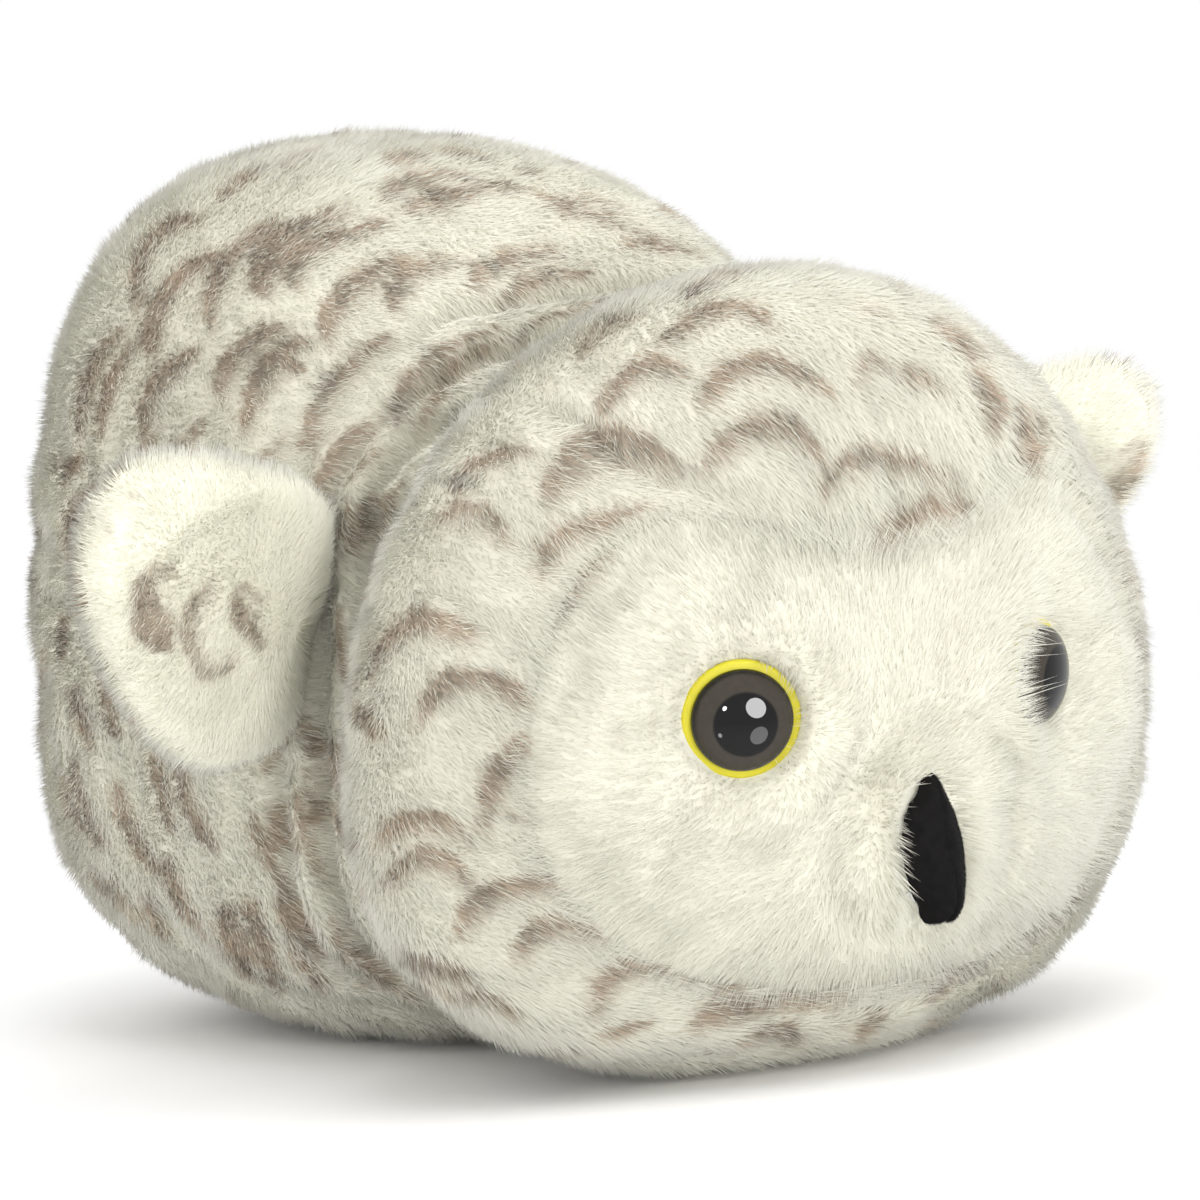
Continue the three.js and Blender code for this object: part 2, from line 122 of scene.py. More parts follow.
BODY_MARKS = (
    (130, 298, 142, 240, 188, 213, 12), (143, 348, 158, 292, 205, 252, 17),
    (203, 318, 216, 262, 272, 216, 11), (258, 284, 272, 240, 333, 205, 20),
    (288, 280, 308, 244, 383, 215, 14), (320, 333, 345, 286, 398, 254, 17),
    (395, 302, 408, 266, 462, 254, 14), (476, 280, 502, 257, 553, 243, 11),
    (505, 304, 540, 274, 592, 268, 12), (210, 387, 232, 348, 276, 323, 14),
    (238, 418, 258, 368, 300, 337, 16), (268, 362, 285, 362, 300, 366, 9),
    (303, 440, 328, 382, 383, 335, 10), (390, 422, 425, 362, 495, 324, 14),
    (422, 420, 455, 368, 510, 341, 9), (318, 495, 332, 455, 366, 428, 20),
    (70, 432, 82, 372, 113, 325, 9), (90, 432, 105, 375, 130, 335, 10),
    (135, 432, 146, 385, 185, 352, 13), (170, 445, 182, 440, 196, 425, 8),
    (220, 192, 234, 177, 257, 161, 9), (283, 165, 300, 152, 325, 142, 7, 0.6),
    (325, 143, 338, 140, 350, 137, 3, 0.5), (383, 191, 420, 172, 472, 170, 8),
    (418, 204, 444, 190, 466, 188, 12), (465, 187, 500, 180, 534, 183, 6),
    (396, 160, 405, 152, 418, 147, 14, 0.7), (430, 145, 455, 145, 500, 155, 6, 0.8),
    (545, 195, 562, 195, 584, 195, 8), (565, 208, 592, 208, 642, 223, 6),
    (575, 190, 602, 194, 636, 206, 4), (630, 238, 655, 237, 700, 248, 7),
    (515, 163, 530, 165, 548, 170, 6, 0.7), (523, 340, 560, 309, 630, 290, 8),
    (340, 492, 358, 462, 387, 447, 6), (345, 560, 358, 522, 380, 495, 8),
    (362, 552, 382, 512, 402, 478, 7), (60, 552, 66, 518, 86, 490, 10),
    (55, 482, 60, 470, 74, 460, 6), (44, 470, 48, 460, 56, 448, 4),
    (50, 658, 55, 640, 58, 616, 8), (68, 690, 72, 715, 82, 744, 9),
    (94, 680, 100, 708, 111, 736, 9), (65, 760, 76, 810, 100, 852, 8),
    (109, 788, 122, 832, 150, 876, 12), (147, 758, 154, 792, 164, 830, 11),
    (172, 760, 181, 806, 206, 850, 12), (161, 864, 175, 905, 201, 942, 10),
    (220, 915, 226, 942, 246, 982, 13), (228, 912, 238, 918, 247, 912, 9),
    (250, 908, 259, 955, 276, 992, 11), (246, 815, 258, 850, 281, 894, 13),
    (274, 812, 280, 833, 290, 852, 9), (288, 790, 298, 830, 325, 886, 9),
    (301, 718, 302, 752, 304, 792, 6), (314, 733, 325, 762, 336, 792, 11),
    (315, 800, 325, 820, 346, 846, 8), (284, 903, 300, 930, 321, 956, 16),
    (284, 948, 304, 975, 327, 1002, 10), (329, 918, 340, 950, 363, 986, 9),
    (359, 953, 382, 985, 421, 1012, 9), (404, 963, 426, 985, 452, 1007, 9),
    (334, 606, 338, 648, 346, 686, 9), (320, 562, 335, 525, 347, 500, 8),
    (263, 772, 272, 755, 281, 734, 9), (88, 878, 100, 895, 116, 911, 7),
    (104, 884, 120, 905, 136, 926, 6), (144, 903, 150, 925, 161, 942, 8),
    (54, 778, 62, 810, 76, 836, 6),
)

# The marks inside the near wing, traced alike; the other wing has them mirrored
WING_MARKS = (
    (140, 606, 154, 578, 184, 580, 10, 0.5), (150, 588, 156, 622, 176, 650, 26, 0.8),
    (214, 594, 196, 622, 199, 655, 11, 0.75), (199, 652, 214, 676, 238, 668, 14, 0.65),
    (238, 600, 252, 591, 268, 602, 9, 0.6), (243, 602, 250, 622, 268, 645, 13, 0.8),
    (128, 487, 135, 491, 143, 496, 8, 0.5), (102, 524, 105, 531, 108, 540, 6, 0.35),
)

# Highlights on the near eye: x, y, width in pixels, and the lamp's brightness
HIGHLIGHTS = ((757, 707, 21, 20.0), (759, 736, 20, 4.5), (723, 708, 4, 45.0), (719, 735, 4, 10.0))


# How the knitted backing behaves in the simulation
PLUSH_CLOTH = {
    "quality": 5, "mass": 0.3, "tension_stiffness": 12, "compression_stiffness": 12,
    "bending_stiffness": 0.8, "use_pressure": True,
}

# Gathers behind the neck: distance from its seam, share of the full depth, and spread
NECK_FOLDS = ((9 * MM, 0.75, 2.2 * MM), (18 * MM, 1.0, 2.6 * MM), (29 * MM, 0.7, 3.0 * MM))

# The neck: how wide its seam's groove is, how far the gathers wander, and the crest after each
CREASE_SPREAD = 4.5 * MM
FOLD_WANDER = 2.2 * MM
CREST_AFTER = 5 * MM
CREST_SHARE = 0.35

# Each wing's rim growth outward as a share, how far it is pulled in, and how far its top droops
WING_FORMS = {"left": (0.2, 0.06, 0.09), "right": (1.0, 0.0, 0.0)}

# A wing's front: its dish, its rolled rim, and the small folds beside its seam
WING_DISH = 1.3 * MM
WING_ROLL = 2.4 * MM
WING_FOLD = 0.9 * MM
WING_FOLD_SPACING = 5.5 * MM
WING_FOLD_REACH = 12 * MM

# How warm and pale the pile of each kind of panel is, from 0 to 1; partly painted light, as panels that
# the lamps leave in more shade, above all the wing fronts behind the cheek, get paler pile
PALENESS_AND_PAINTED_LIGHT = {"body": 0.25, "hood": 0.0, "face": 0.15, "front": 1.0, "back": 0.5}

# How far apart the scattered marks are
TORSO_APART, WING_APART = 23 * MM, 21 * MM

# Round the eyes: how much further out than its ring each eye is clear, in millimetres, and the
# share, length and reach of the lone hairs that lie over the rings
EYE_CLEAR = {"left": -0.4, "right": 1.1}
EYE_EDGE = 11.5
LONE_SHARE, LONE_LENGTH, LONE_REACH = 0.025, 1.9, 15.5 * MM

# The beak's outline on the face is an oval of this power
BEAK_OVAL = 2.4

# The beak: its remesh, its backing, the groove of its ridge, and how its lower end is formed
BEAK_CELL, BEAK_BACKING = 1.1 * MM, 0.6 * MM
RIDGE_WIDTH, RIDGE_DEPTH = 0.7 * MM, 0.5
BEAK_TOP_WIDTH, BEAK_WIDENS, BEAK_NARROWS = 0.74, 0.24, 0.42
LOBE_WIDTH, LOBE_RISE, BEAK_DROP = 1.4 * MM, 1.6, 2.2
BEAK_FORWARD = 5.5 * MM

# The velvet's tufts: how many on a square millimetre, and their length and width as shares
VELVET_DENSITY, VELVET_LENGTH, VELVET_WIDTH = 9.0, 0.14, 0.45

# Each fill's node, the body it rides on, and the cell of its remesh in millimetres
FILL_ROWS = (
    ("head_stuffing", "torso", 5.0), ("body_stuffing", "torso", 6.0),
    ("left_wing_stuffing", "left_wing", 2.5), ("right_wing_stuffing", "right_wing", 2.5),
    ("beak_stuffing", "torso", 1.2),
)

# Each softbox: the direction from the toy, the distance and the size
SOFTBOXES = {
    "key": ((-0.1, -0.4, 0.92), 1.6, 1.0), "fill": ((-0.2, -0.85, 0.05), 1.8, 0.35),
    "near_side": ((-1.0, -0.15, 0.05), 1.8, 0.35), "far_side": ((0.75, -0.75, 0.2), 1.8, 0.9),
}

# The floor turns to plain white between these distances from the middle
FLOOR_FADE = (0.16, 0.42)

# First seeds of the random draws
PILE_SEED, NAP_SEED, TONE_SEED, WING_SEED, BEAK_SEED, FILL_SEED = 100, 200, 300, 400, 600, 700

# A highlight's lamp: its largest distance, and the share of the way down to the floor it may use
LAMP_REACH = 0.16
LAMP_DROP = 0.6


class CoverSettings(PropertyGroup):
    voxel: FloatProperty(
        name="Voxel", description="Cell of the remesh before the covers are filled", default=4.5 * MM,
        unit="LENGTH")
    shrink: FloatProperty(
        name="Shrink", description="How much smaller the cover starts before it swells",
        default=2.2 * MM, unit="LENGTH")
    swell: FloatProperty(
        name="Swell", description="The most that the filling may push a point out",
        default=3.2 * MM, unit="LENGTH")
    pressure: FloatProperty(
        name="Pressure", description="Pressure of the filling", default=200.0)
    ease: FloatProperty(
        name="Ease", description="How much larger the sewn cover is than its start, as a share",
        default=0.055)
    frames: IntProperty(
        name="Frames", description="Steps of the simulation", default=20)
    thickness: FloatProperty(
        name="Backing", description="Thickness of the knitted backing", default=1.6 * MM, unit="LENGTH")
    rim: FloatProperty(
        name="Wing rim", description="How far the padded rim of a wing stands out from its seam",
        default=6.5 * MM, unit="LENGTH")
    crease: FloatProperty(
        name="Neck crease", description="How deep the neck seam is drawn in", default=4.0 * MM,
        unit="LENGTH")
    wrinkle: FloatProperty(
        name="Wrinkles", description="Depth of the gathers behind the neck seam", default=3.6 * MM,
        unit="LENGTH")
    puff: FloatProperty(
        name="Eye puff", description="How far the padding stands up round each eye",
        default=2.6 * MM, unit="LENGTH")
    clear: FloatProperty(
        name="Floor gap", description="Height of the backing over the floor, taken by flattened pile",
        default=0.8 * MM, unit="LENGTH")


class PileSettings(PropertyGroup):
    length: FloatProperty(
        name="Length", description="Length of a fibre tuft", default=5.2 * MM, unit="LENGTH")
    width: FloatProperty(
        name="Width", description="Width of a fibre tuft at its root", default=0.28 * MM, unit="LENGTH")
    lift: FloatProperty(
        name="Lift", description="Angle of the pile over the backing", default=math.radians(30),
        subtype="ANGLE")
    density: FloatProperty(
        name="Density", description="Tufts on a square millimetre", default=2.3)
    under_density: FloatProperty(
        name="Density below", description="Tufts on a square millimetre of the belly", default=0.5)
    cream: FloatVectorProperty(
        name="Cream", description="Colour of the plain pile", default=(0.865, 0.844, 0.73),
        subtype="COLOR")
    # The warm cream is paler than the plain cream: partly painted light for panels that the lamps leave in
    # shade
    warm: FloatVectorProperty(
        name="Warm cream", description="Colour of the pile on the face and inside the wings",
        default=(0.988, 0.97, 0.835), subtype="COLOR")
    taupe: FloatVectorProperty(
        name="Taupe", description="Colour of the marks", default=(0.2, 0.15, 0.107), subtype="COLOR")


class EyeSettings(PropertyGroup):
    pupil: FloatProperty(
        name="Pupil", description="Pupil's radius as a share of the dome's", default=0.63)
    iris: FloatVectorProperty(
        name="Iris", description="Colour round the pupil", default=(0.042, 0.035, 0.027), subtype="COLOR")
    yellow: FloatVectorProperty(
        name="Rim", description="Colour of the ring behind the dome", default=(0.68, 0.61, 0.04),
        subtype="COLOR")


class StageSettings(PropertyGroup):
    place: FloatVectorProperty(
        name="Camera", description="Where the camera stands", default=(-0.80262, -1.17109, 0.21309),
        subtype="XYZ", unit="LENGTH")
    azimuth: FloatProperty(
        name="Azimuth", description="Camera's turn round the toy", default=math.radians(-34.932),
        subtype="ANGLE")
    elevation: FloatProperty(
        name="Elevation", description="Camera's angle above level", default=math.radians(4.948),
        subtype="ANGLE")
    roll: FloatProperty(
        name="Roll", description="Camera's turn about its own line of sight",
        default=math.radians(-4.42), subtype="ANGLE")
    lens: FloatProperty(
        name="Lens", description="Focal length on a 36 mm sensor, in millimetres", default=201.52)
    world: FloatProperty(
        name="Room light", description="Strength of the even light from all round", default=1.1)
    key: FloatProperty(
        name="Key light", description="Power of the large softbox, in watts", default=8.0)
    fill: FloatProperty(
        name="Fill light", description="Power of the low softbox, in watts", default=6.8)
    far_side: FloatProperty(
        name="Far side light", description="Power of the softbox at the owl's left, in watts",
        default=4.5)
    near_side: FloatProperty(
        name="Near side light", description="Power of the softbox at the owl's right, in watts",
        default=3.5)


class Sight:
    """The camera's place and axes: turns pixels of the photograph into lines of sight."""

    sensor = 36.0

    def __init__(self, stage):
        turn, rise = stage.azimuth, stage.elevation
        self.place = np.array(stage.place)
        self.back = np.array([
            math.sin(turn) * math.cos(rise), -math.cos(turn) * math.cos(rise), math.sin(rise)])
        level = unit(np.cross(-self.back, [0, 0, 1]))
        upward = np.cross(level, -self.back)
        self.right = level * math.cos(stage.roll) + upward * math.sin(stage.roll)
        self.up = upward * math.cos(stage.roll) - level * math.sin(stage.roll)
        self.focal = stage.lens / self.sensor * PHOTO_SIZE

    def ray(self, x, y):
        half = PHOTO_SIZE / 2
        return unit(self.right * (x - half) - self.up * (y - half) - self.back * self.focal)

    def hit(self, tree, x, y):
        """The point of a surface that shows at a pixel, or None."""
        found = tree.ray_cast(Vector(self.place), Vector(self.ray(x, y)))[0]
        return None if found is None else np.array(found)


# Arrays and meshes

def unit(vectors):
    """Vectors at length 1; a zero vector stays zero."""
    vectors = np.asarray(vectors, float)
    lengths = np.linalg.norm(vectors, axis=-1, keepdims=True)
    return vectors / np.maximum(lengths, 1e-12)


def smooth(low, high, values):
    share = np.clip((values - low) / (high - low), 0, 1)
    return share * share * (3 - 2 * share)


def fade(near, far, away):
    """1 up to a near distance and 0 past a far one, both in millimetres."""
    return 1 - smooth(near * MM, far * MM, away)


def waves(points, wavelength, seed, count=8):
    """Smooth seeded noise, mostly between -1 and 1, as a sum of sine waves."""
    draw = np.random.default_rng(seed)
    turns = unit(draw.normal(size=(count, 3))) * (2 * math.pi / wavelength)
    turns *= draw.uniform(0.6, 1.5, (count, 1))
    shift = draw.uniform(0, 2 * math.pi, count)
    return np.sin(points @ turns.T + shift).sum(1) / math.sqrt(count)


def points_of(mesh):
    places = np.empty(len(mesh.vertices) * 3, np.float32)
    mesh.vertices.foreach_get("co", places)
    return places.reshape(-1, 3).astype(float)


def set_points(mesh, places):
    mesh.vertices.foreach_set("co", places.astype(np.float32).ravel())
    mesh.update()


def normals_of(mesh):
    normals = np.empty(len(mesh.vertices) * 3, np.float32)
    mesh.vertex_normals.foreach_get("vector", normals)
    return normals.reshape(-1, 3).astype(float)


def triangles_of(mesh):
    mesh.calc_loop_triangles()
    corners = np.empty(len(mesh.loop_triangles) * 3, np.int32)
    mesh.loop_triangles.foreach_get("vertices", corners)
    return corners.reshape(-1, 3)


def node_points(*nodes):
    return np.concatenate([points_of(frame["nodes"][node].data) for node in nodes])


def tree_of(places, triangles):
    return BVHTree.FromPolygons(places.tolist(), triangles.tolist())


def node_tree(*nodes):
    places, triangles, start = [], [], 0
    for node in nodes:
        mesh = frame["nodes"][node].data
        places.append(points_of(mesh))
        triangles.append(triangles_of(mesh) + start)
        start += len(mesh.vertices)
    return tree_of(np.concatenate(places), np.concatenate(triangles))


def distances(tree, places):
    return np.array([tree.find_nearest(Vector(place))[3] for place in places])


def nearest(tree, place):
    """The nearest point of a surface and its normal there."""
    found, normal, _, _ = tree.find_nearest(Vector(place))
    return np.array(found), np.array(normal)


def deselect():
    if bpy.context.mode != "OBJECT":
        bpy.ops.object.mode_set(mode="OBJECT")
    bpy.ops.object.select_all(action="DESELECT")


def choose(piece):
    """Selects one piece alone and makes it active."""
    deselect()
    piece.select_set(True)
    bpy.context.view_layer.objects.active = piece


def edit_all(*steps):
    """Runs mesh operators on all of the active piece in edit mode."""
    bpy.ops.object.mode_set(mode="EDIT")
    bpy.ops.mesh.select_all(action="SELECT")
    for step in steps:
        step()
    bpy.ops.object.mode_set(mode="OBJECT")


def modify(piece, kind, **settings):
    """Adds a modifier with these settings and applies it."""
    choose(piece)
    modifier = piece.modifiers.new(kind.title(), kind)
    for name, value in settings.items():
        setattr(modifier, name, value)
    bpy.ops.object.modifier_apply(modifier=modifier.name)


def mesh_from(name, places, faces):
    """A mesh of triangles from arrays."""
    mesh = bpy.data.meshes.new(name)
    mesh.vertices.add(len(places))
    mesh.vertices.foreach_set("co", places.astype(np.float32).ravel())
    mesh.loops.add(faces.size)
    mesh.loops.foreach_set("vertex_index", faces.astype(np.int32).ravel())
    mesh.polygons.add(len(faces))
    mesh.polygons.foreach_set("loop_start", np.arange(0, faces.size, 3, dtype=np.int32))
    mesh.update(calc_edges=True)
    return mesh


def object_from(name, mesh):
    piece = bpy.data.objects.new(name, mesh)
    bpy.context.collection.objects.link(piece)
    return piece


def merged_copy(name, nodes):
    """One object that holds copies of CAD nodes, with their loose triangles merged."""
    deselect()
    for node in nodes:
        twin = object_from(name, frame["nodes"][node].data.copy())
        twin.data.materials.clear()
        twin.select_set(True)
        bpy.context.view_layer.objects.active = twin
    if len(nodes) > 1:
        bpy.ops.object.join()
    edit_all(lambda: bpy.ops.mesh.remove_doubles(threshold=MERGE))
    return bpy.context.view_layer.objects.active


def largest_island(piece):
    """Keeps the outermost closed surface of a remeshed piece."""
    choose(piece)
    edit_all(lambda: bpy.ops.mesh.separate(type="LOOSE"))
    parts = sorted(bpy.context.selected_objects, key=lambda part: len(part.data.vertices))
    for part in parts[:-1]:
        bpy.data.objects.remove(part)
    return parts[-1]


def paint(mesh, **channels):
    """Stores one value for each vertex under each name."""
    for name, values in channels.items():
        channel = mesh.attributes.new(name, "FLOAT", "POINT")
        channel.data.foreach_set("value", np.asarray(values, np.float32))


def bend_normals(mesh, normals):
    """Gives each vertex the normal that it is shaded with."""
    channel = mesh.attributes.new("custom_normal", "FLOAT_VECTOR", "POINT")
    channel.data.foreach_set("vector", normals.astype(np.float32).ravel())


def map_pattern(mesh, flat):
    """A UV map from each vertex's place on a flat pattern."""
    corners = np.empty(len(mesh.loops), np.int32)
    mesh.loops.foreach_get("vertex_index", corners)
    layer = mesh.uv_layers.new(name="OFBake")
    layer.uv.foreach_set("vector", flat[corners].astype(np.float32).ravel())


def flat_pattern(places, centre, axis):
    """Places spread round an axis by their angle from it, as shares of a square."""
    arms = unit(places - centre)
    side = unit(np.cross(axis, [0.0, 0.0, 1.0] if abs(axis[2]) < 0.9 else [0.0, 1.0, 0.0]))
    other = np.cross(axis, side)
    away = np.arccos(np.clip(arms @ axis, -1, 1)) / math.pi
    turn = np.arctan2(arms @ other, arms @ side)
    return 0.5 + 0.62 * away[:, None] * np.stack([np.cos(turn), np.sin(turn)], 1)


# Covers

def fill_with_pressure(piece, held, settings, simulated):
    """Swells a closed cover: by cloth pressure with its movement capped, or by moves in code."""
    mesh = piece.data
    before = points_of(mesh)
    free = 1 - held
    small = before - normals_of(mesh) * (free * settings.shrink)[:, None]
    if not simulated:
        moved = small + normals_of(mesh) * (free * settings.swell)[:, None]
        set_points(mesh, moved)
        return
    set_points(mesh, small)
    group = piece.vertex_groups.new(name="seams")
    for index in np.flatnonzero(held > 0):
        group.add([int(index)], float(held[index]), "REPLACE")
    cloth = piece.modifiers.new("Filling", "CLOTH")
    for name, value in PLUSH_CLOTH.items():
        setattr(cloth.settings, name, value)
    cloth.settings.shrink_min = -settings.ease
    cloth.settings.shrink_max = -settings.ease
    cloth.settings.uniform_pressure_force = settings.pressure
    cloth.settings.vertex_group_mass = group.name
    cloth.settings.effector_weights.gravity = 0
    cloth.point_cache.frame_start = 1
    cloth.point_cache.frame_end = settings.frames
    scene = bpy.context.scene
    for step in range(1, settings.frames + 1):
        scene.frame_set(step)
    shown = piece.evaluated_get(bpy.context.evaluated_depsgraph_get())
    swollen = points_of(shown.data)
    piece.modifiers.remove(cloth)
    piece.vertex_groups.remove(group)
    scene.frame_set(1)
    move = swollen - small
    length = np.linalg.norm(move, axis=1, keepdims=True)
    move *= np.minimum(1, settings.swell / np.maximum(length, 1e-9))
    set_points(mesh, small + move)


def score(work, level):
    """Cuts a mesh along the line where a level is zero; vertices that nearly lie on it move to it."""
    work.verts.ensure_lookup_table()
    values = level(np.array([vert.co for vert in work.verts]))
    work.verts.index_update()
    values = list(values)
    near = 0.22
    for edge in work.edges:
        a, b = edge.verts
        if values[a.index] * values[b.index] < 0:
            share = values[a.index] / (values[a.index] - values[b.index])
            if share < near:
                a.co = a.co.lerp(b.co, share)
                values[a.index] = 0.0
            elif share > 1 - near:
                b.co = a.co.lerp(b.co, share)
                values[b.index] = 0.0
    crossing = [
        edge for edge in work.edges
        if values[edge.verts[0].index] * values[edge.verts[1].index] < 0]
    zero = {work.verts[index] for index, value in enumerate(values) if value == 0.0}
    for edge in crossing:
        a, b = edge.verts
        share = values[a.index] / (values[a.index] - values[b.index])
        made = bmesh.utils.edge_split(edge, a, share)[1]
        zero.add(made)
    for face in list(work.faces):
        on_line = [vert for vert in face.verts if vert in zero]
        if len(on_line) == 2 and not any(edge.other_vert(on_line[0]) is on_line[1]
                                         for edge in on_line[0].link_edges):
            bmesh.utils.face_split(face, on_line[0], on_line[1])


def cut_along(piece, *levels):
    """Cuts a cover where each level is zero: its vertices, their normals and its triangles."""
    work = bmesh.new()
    work.from_mesh(piece.data)
    for level in levels:
        score(work, level)
    bmesh.ops.triangulate(work, faces=work.faces[:])
    work.to_mesh(piece.data)
    work.free()
    return points_of(piece.data), normals_of(piece.data), triangles_of(piece.data)


def finish(piece, material, node, body):
    """Gives a piece its material, hides the CAD node that it stands for, and parents it to the empty of
    the body that it rides on.
    """
    piece.data.materials.clear()
    piece.data.materials.append(material)
    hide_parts(node)
    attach(piece, body)


class Torso:
    """The whole torso's cover as one closed surface, and the seams that divide it."""

    def __init__(self):
        self.head = node_tree(*HEAD_NODES)
        self.body = node_tree(*BODY_NODES)
        face = node_points("face_panel") @ UPRIGHT.T
        low, high = face.min(0), face.max(0)
        self.face_middle = (low + high)[[0, 2]] / 2
        arms = face[:, [0, 2]] - self.face_middle
        turns = np.arctan2(arms[:, 1], arms[:, 0])
        spans = np.linalg.norm(arms, axis=1)
        bins = 40
        self.rim = []
        for place in range(bins):
            inside = np.flatnonzero((turns + math.pi) // (2 * math.pi / bins) == place)
            if len(inside):
                furthest = inside[np.argmax(spans[inside])]
                self.rim.append((turns[furthest], spans[furthest]))
        self.rim = np.array(sorted(self.rim))
        self.face_back = (node_points(*HEAD_NODES) @ UPRIGHT.T)[:, 1].mean()
        belly_top = (node_points("belly_panel") @ UPRIGHT.T)[:, 2].max()
        sides_low = (node_points("left_body_panel") @ UPRIGHT.T)[:, 2].min()
        self.belly_seam = (belly_top + sides_low) / 2

    def neck(self, places):
        """Above zero on the head and below it on the body."""
        return distances(self.body, places) - distances(self.head, places)

    def face(self, places):
        """Above zero inside the face panel's outline."""
        leant = places @ UPRIGHT.T
        arms = leant[:, [0, 2]] - self.face_middle
        turns = np.arctan2(arms[:, 1], arms[:, 0])
        span = np.interp(turns, self.rim[:, 0], self.rim[:, 1], period=2 * math.pi)
        inside = span - np.linalg.norm(arms, axis=1)
        return np.where(leant[:, 1] < self.face_back, inside, -np.abs(inside) - MM)

    def side(self, places):
        return places[:, 0]

    def above_belly(self, places):
        return (places @ UPRIGHT.T)[:, 2] - self.belly_seam

    def panel_names(self, places):
        """The panel that each place of the cover belongs to."""
        on_head = self.neck(places) > 0
        in_face = self.face(places) > 0
        above = self.above_belly(places) > 0
        left = self.side(places) > 0
        names = np.where(left, "left_body_panel", "right_body_panel")
        names = np.where(above, names, "belly_panel")
        hood = np.where(left, "left_hood_panel", "right_hood_panel")
        return np.where(on_head, np.where(in_face, "face_panel", hood), names)


def eye_seat(side_name):
    """The middle of an eye's ring and the direction that the eye looks in."""
    ring = node_points(side_name + "_eye_ring")
    middle = ring.mean(0)
    axis = np.linalg.svd(ring - middle, full_matrices=False)[2][-1]
    return middle, axis * -np.sign(axis[1])


def torso_cover(settings, torso):
    """The torso's outer surface: remeshed from the panels and fill, then filled with pressure."""
    piece = merged_copy("torso_cover", HEAD_NODES + BODY_NODES + FILLS)
    modify(piece, "REMESH", mode="VOXEL", voxel_size=settings.voxel)
    piece = largest_island(piece)
    modify(piece, "SMOOTH", factor=0.5, iterations=5)
    places = points_of(piece.data)
    neck = np.abs(torso.neck(places))
    seam = np.minimum(neck, np.abs(torso.face(places)))
    seam = np.minimum(seam, np.where(np.abs(torso.above_belly(places)) < 3 * MM, 0.0, 1.0))
    held = fade(2, 9, seam)
    for name in SIDES:
        away = np.linalg.norm(places - eye_seat(name)[0], axis=1)
        held = np.maximum(held, fade(13, 22, away))
    beak = node_points("left_beak_panel").mean(0)
    held = np.maximum(held, fade(14, 26, np.linalg.norm(places - beak, axis=1)))
    held = np.maximum(held, fade(1, 5, places[:, 2]))
    fill_with_pressure(piece, held, settings, simulated=True)
    modify(piece, "SUBSURF", levels=1, render_levels=1)
    return piece


def crease_neck(piece, torso, settings):
    """Draws the neck seam in and gathers the fabric behind it in uneven folds."""
    mesh = piece.data
    places, normals = points_of(mesh), normals_of(mesh)
    neck = torso.neck(places)
    line = np.flatnonzero(np.abs(neck) < 1.2 * MM)
    kd = KDTree(len(line))
    for index in line:
        kd.insert(Vector(places[index]), int(index))
    kd.balance()
    away = np.array([kd.find(Vector(place))[2] for place in places])
    depth = settings.crease * np.exp(-((away / CREASE_SPREAD) ** 2))
    behind = np.where(neck < 0, away, 1.0)
    wander = FOLD_WANDER * waves(places, 60 * MM, 11)
    for fold, (distance, share, spread) in enumerate(NECK_FOLDS):
        valley = np.exp(-(((behind - distance - wander) / spread) ** 2))
        uneven = smooth(-0.7, 0.8, waves(places, 85 * MM, 20 + fold))
        depth += settings.wrinkle * share * uneven * valley
        crest = np.exp(-(((behind - distance - wander - CREST_AFTER) / (2 * spread)) ** 2))
        depth -= CREST_SHARE * settings.wrinkle * share * uneven * crest
    for name in SIDES:
        away = np.linalg.norm(places - eye_seat(name)[0], axis=1)
        inner = smooth(-0.1, 0.6, SIDES[name] * (eye_seat(name)[0] - places)[:, 0] / away)
        ring = smooth(11 * MM, 15 * MM, away) * fade(18, 34, away)
        depth -= settings.puff * (0.6 + 0.8 * inner) * ring
    lowest = settings.clear
    moved = places - normals * depth[:, None]
    moved[:, 2] = np.maximum(moved[:, 2], lowest)
    set_points(mesh, moved)


def cut_panels(piece, torso):
    """Cuts the cover along its seams, and names the panel of each triangle."""
    places, normals, triangles = cut_along(
        piece, torso.neck, torso.face, torso.above_belly, torso.side)
    return places, normals, triangles, torso.panel_names(places[triangles].mean(1))


def shell(name, places, triangles, thickness):
    """A panel with its thickness: the outer surface, moved in for its back, closed at its edges."""
    used, faces = np.unique(triangles, return_inverse=True)
    faces = faces.reshape(-1, 3)
    piece = object_from(name, mesh_from(name, places[used], faces))
    modify(piece, "SOLIDIFY", thickness=thickness, offset=-1.0, use_even_offset=False)
    return piece


# Pile

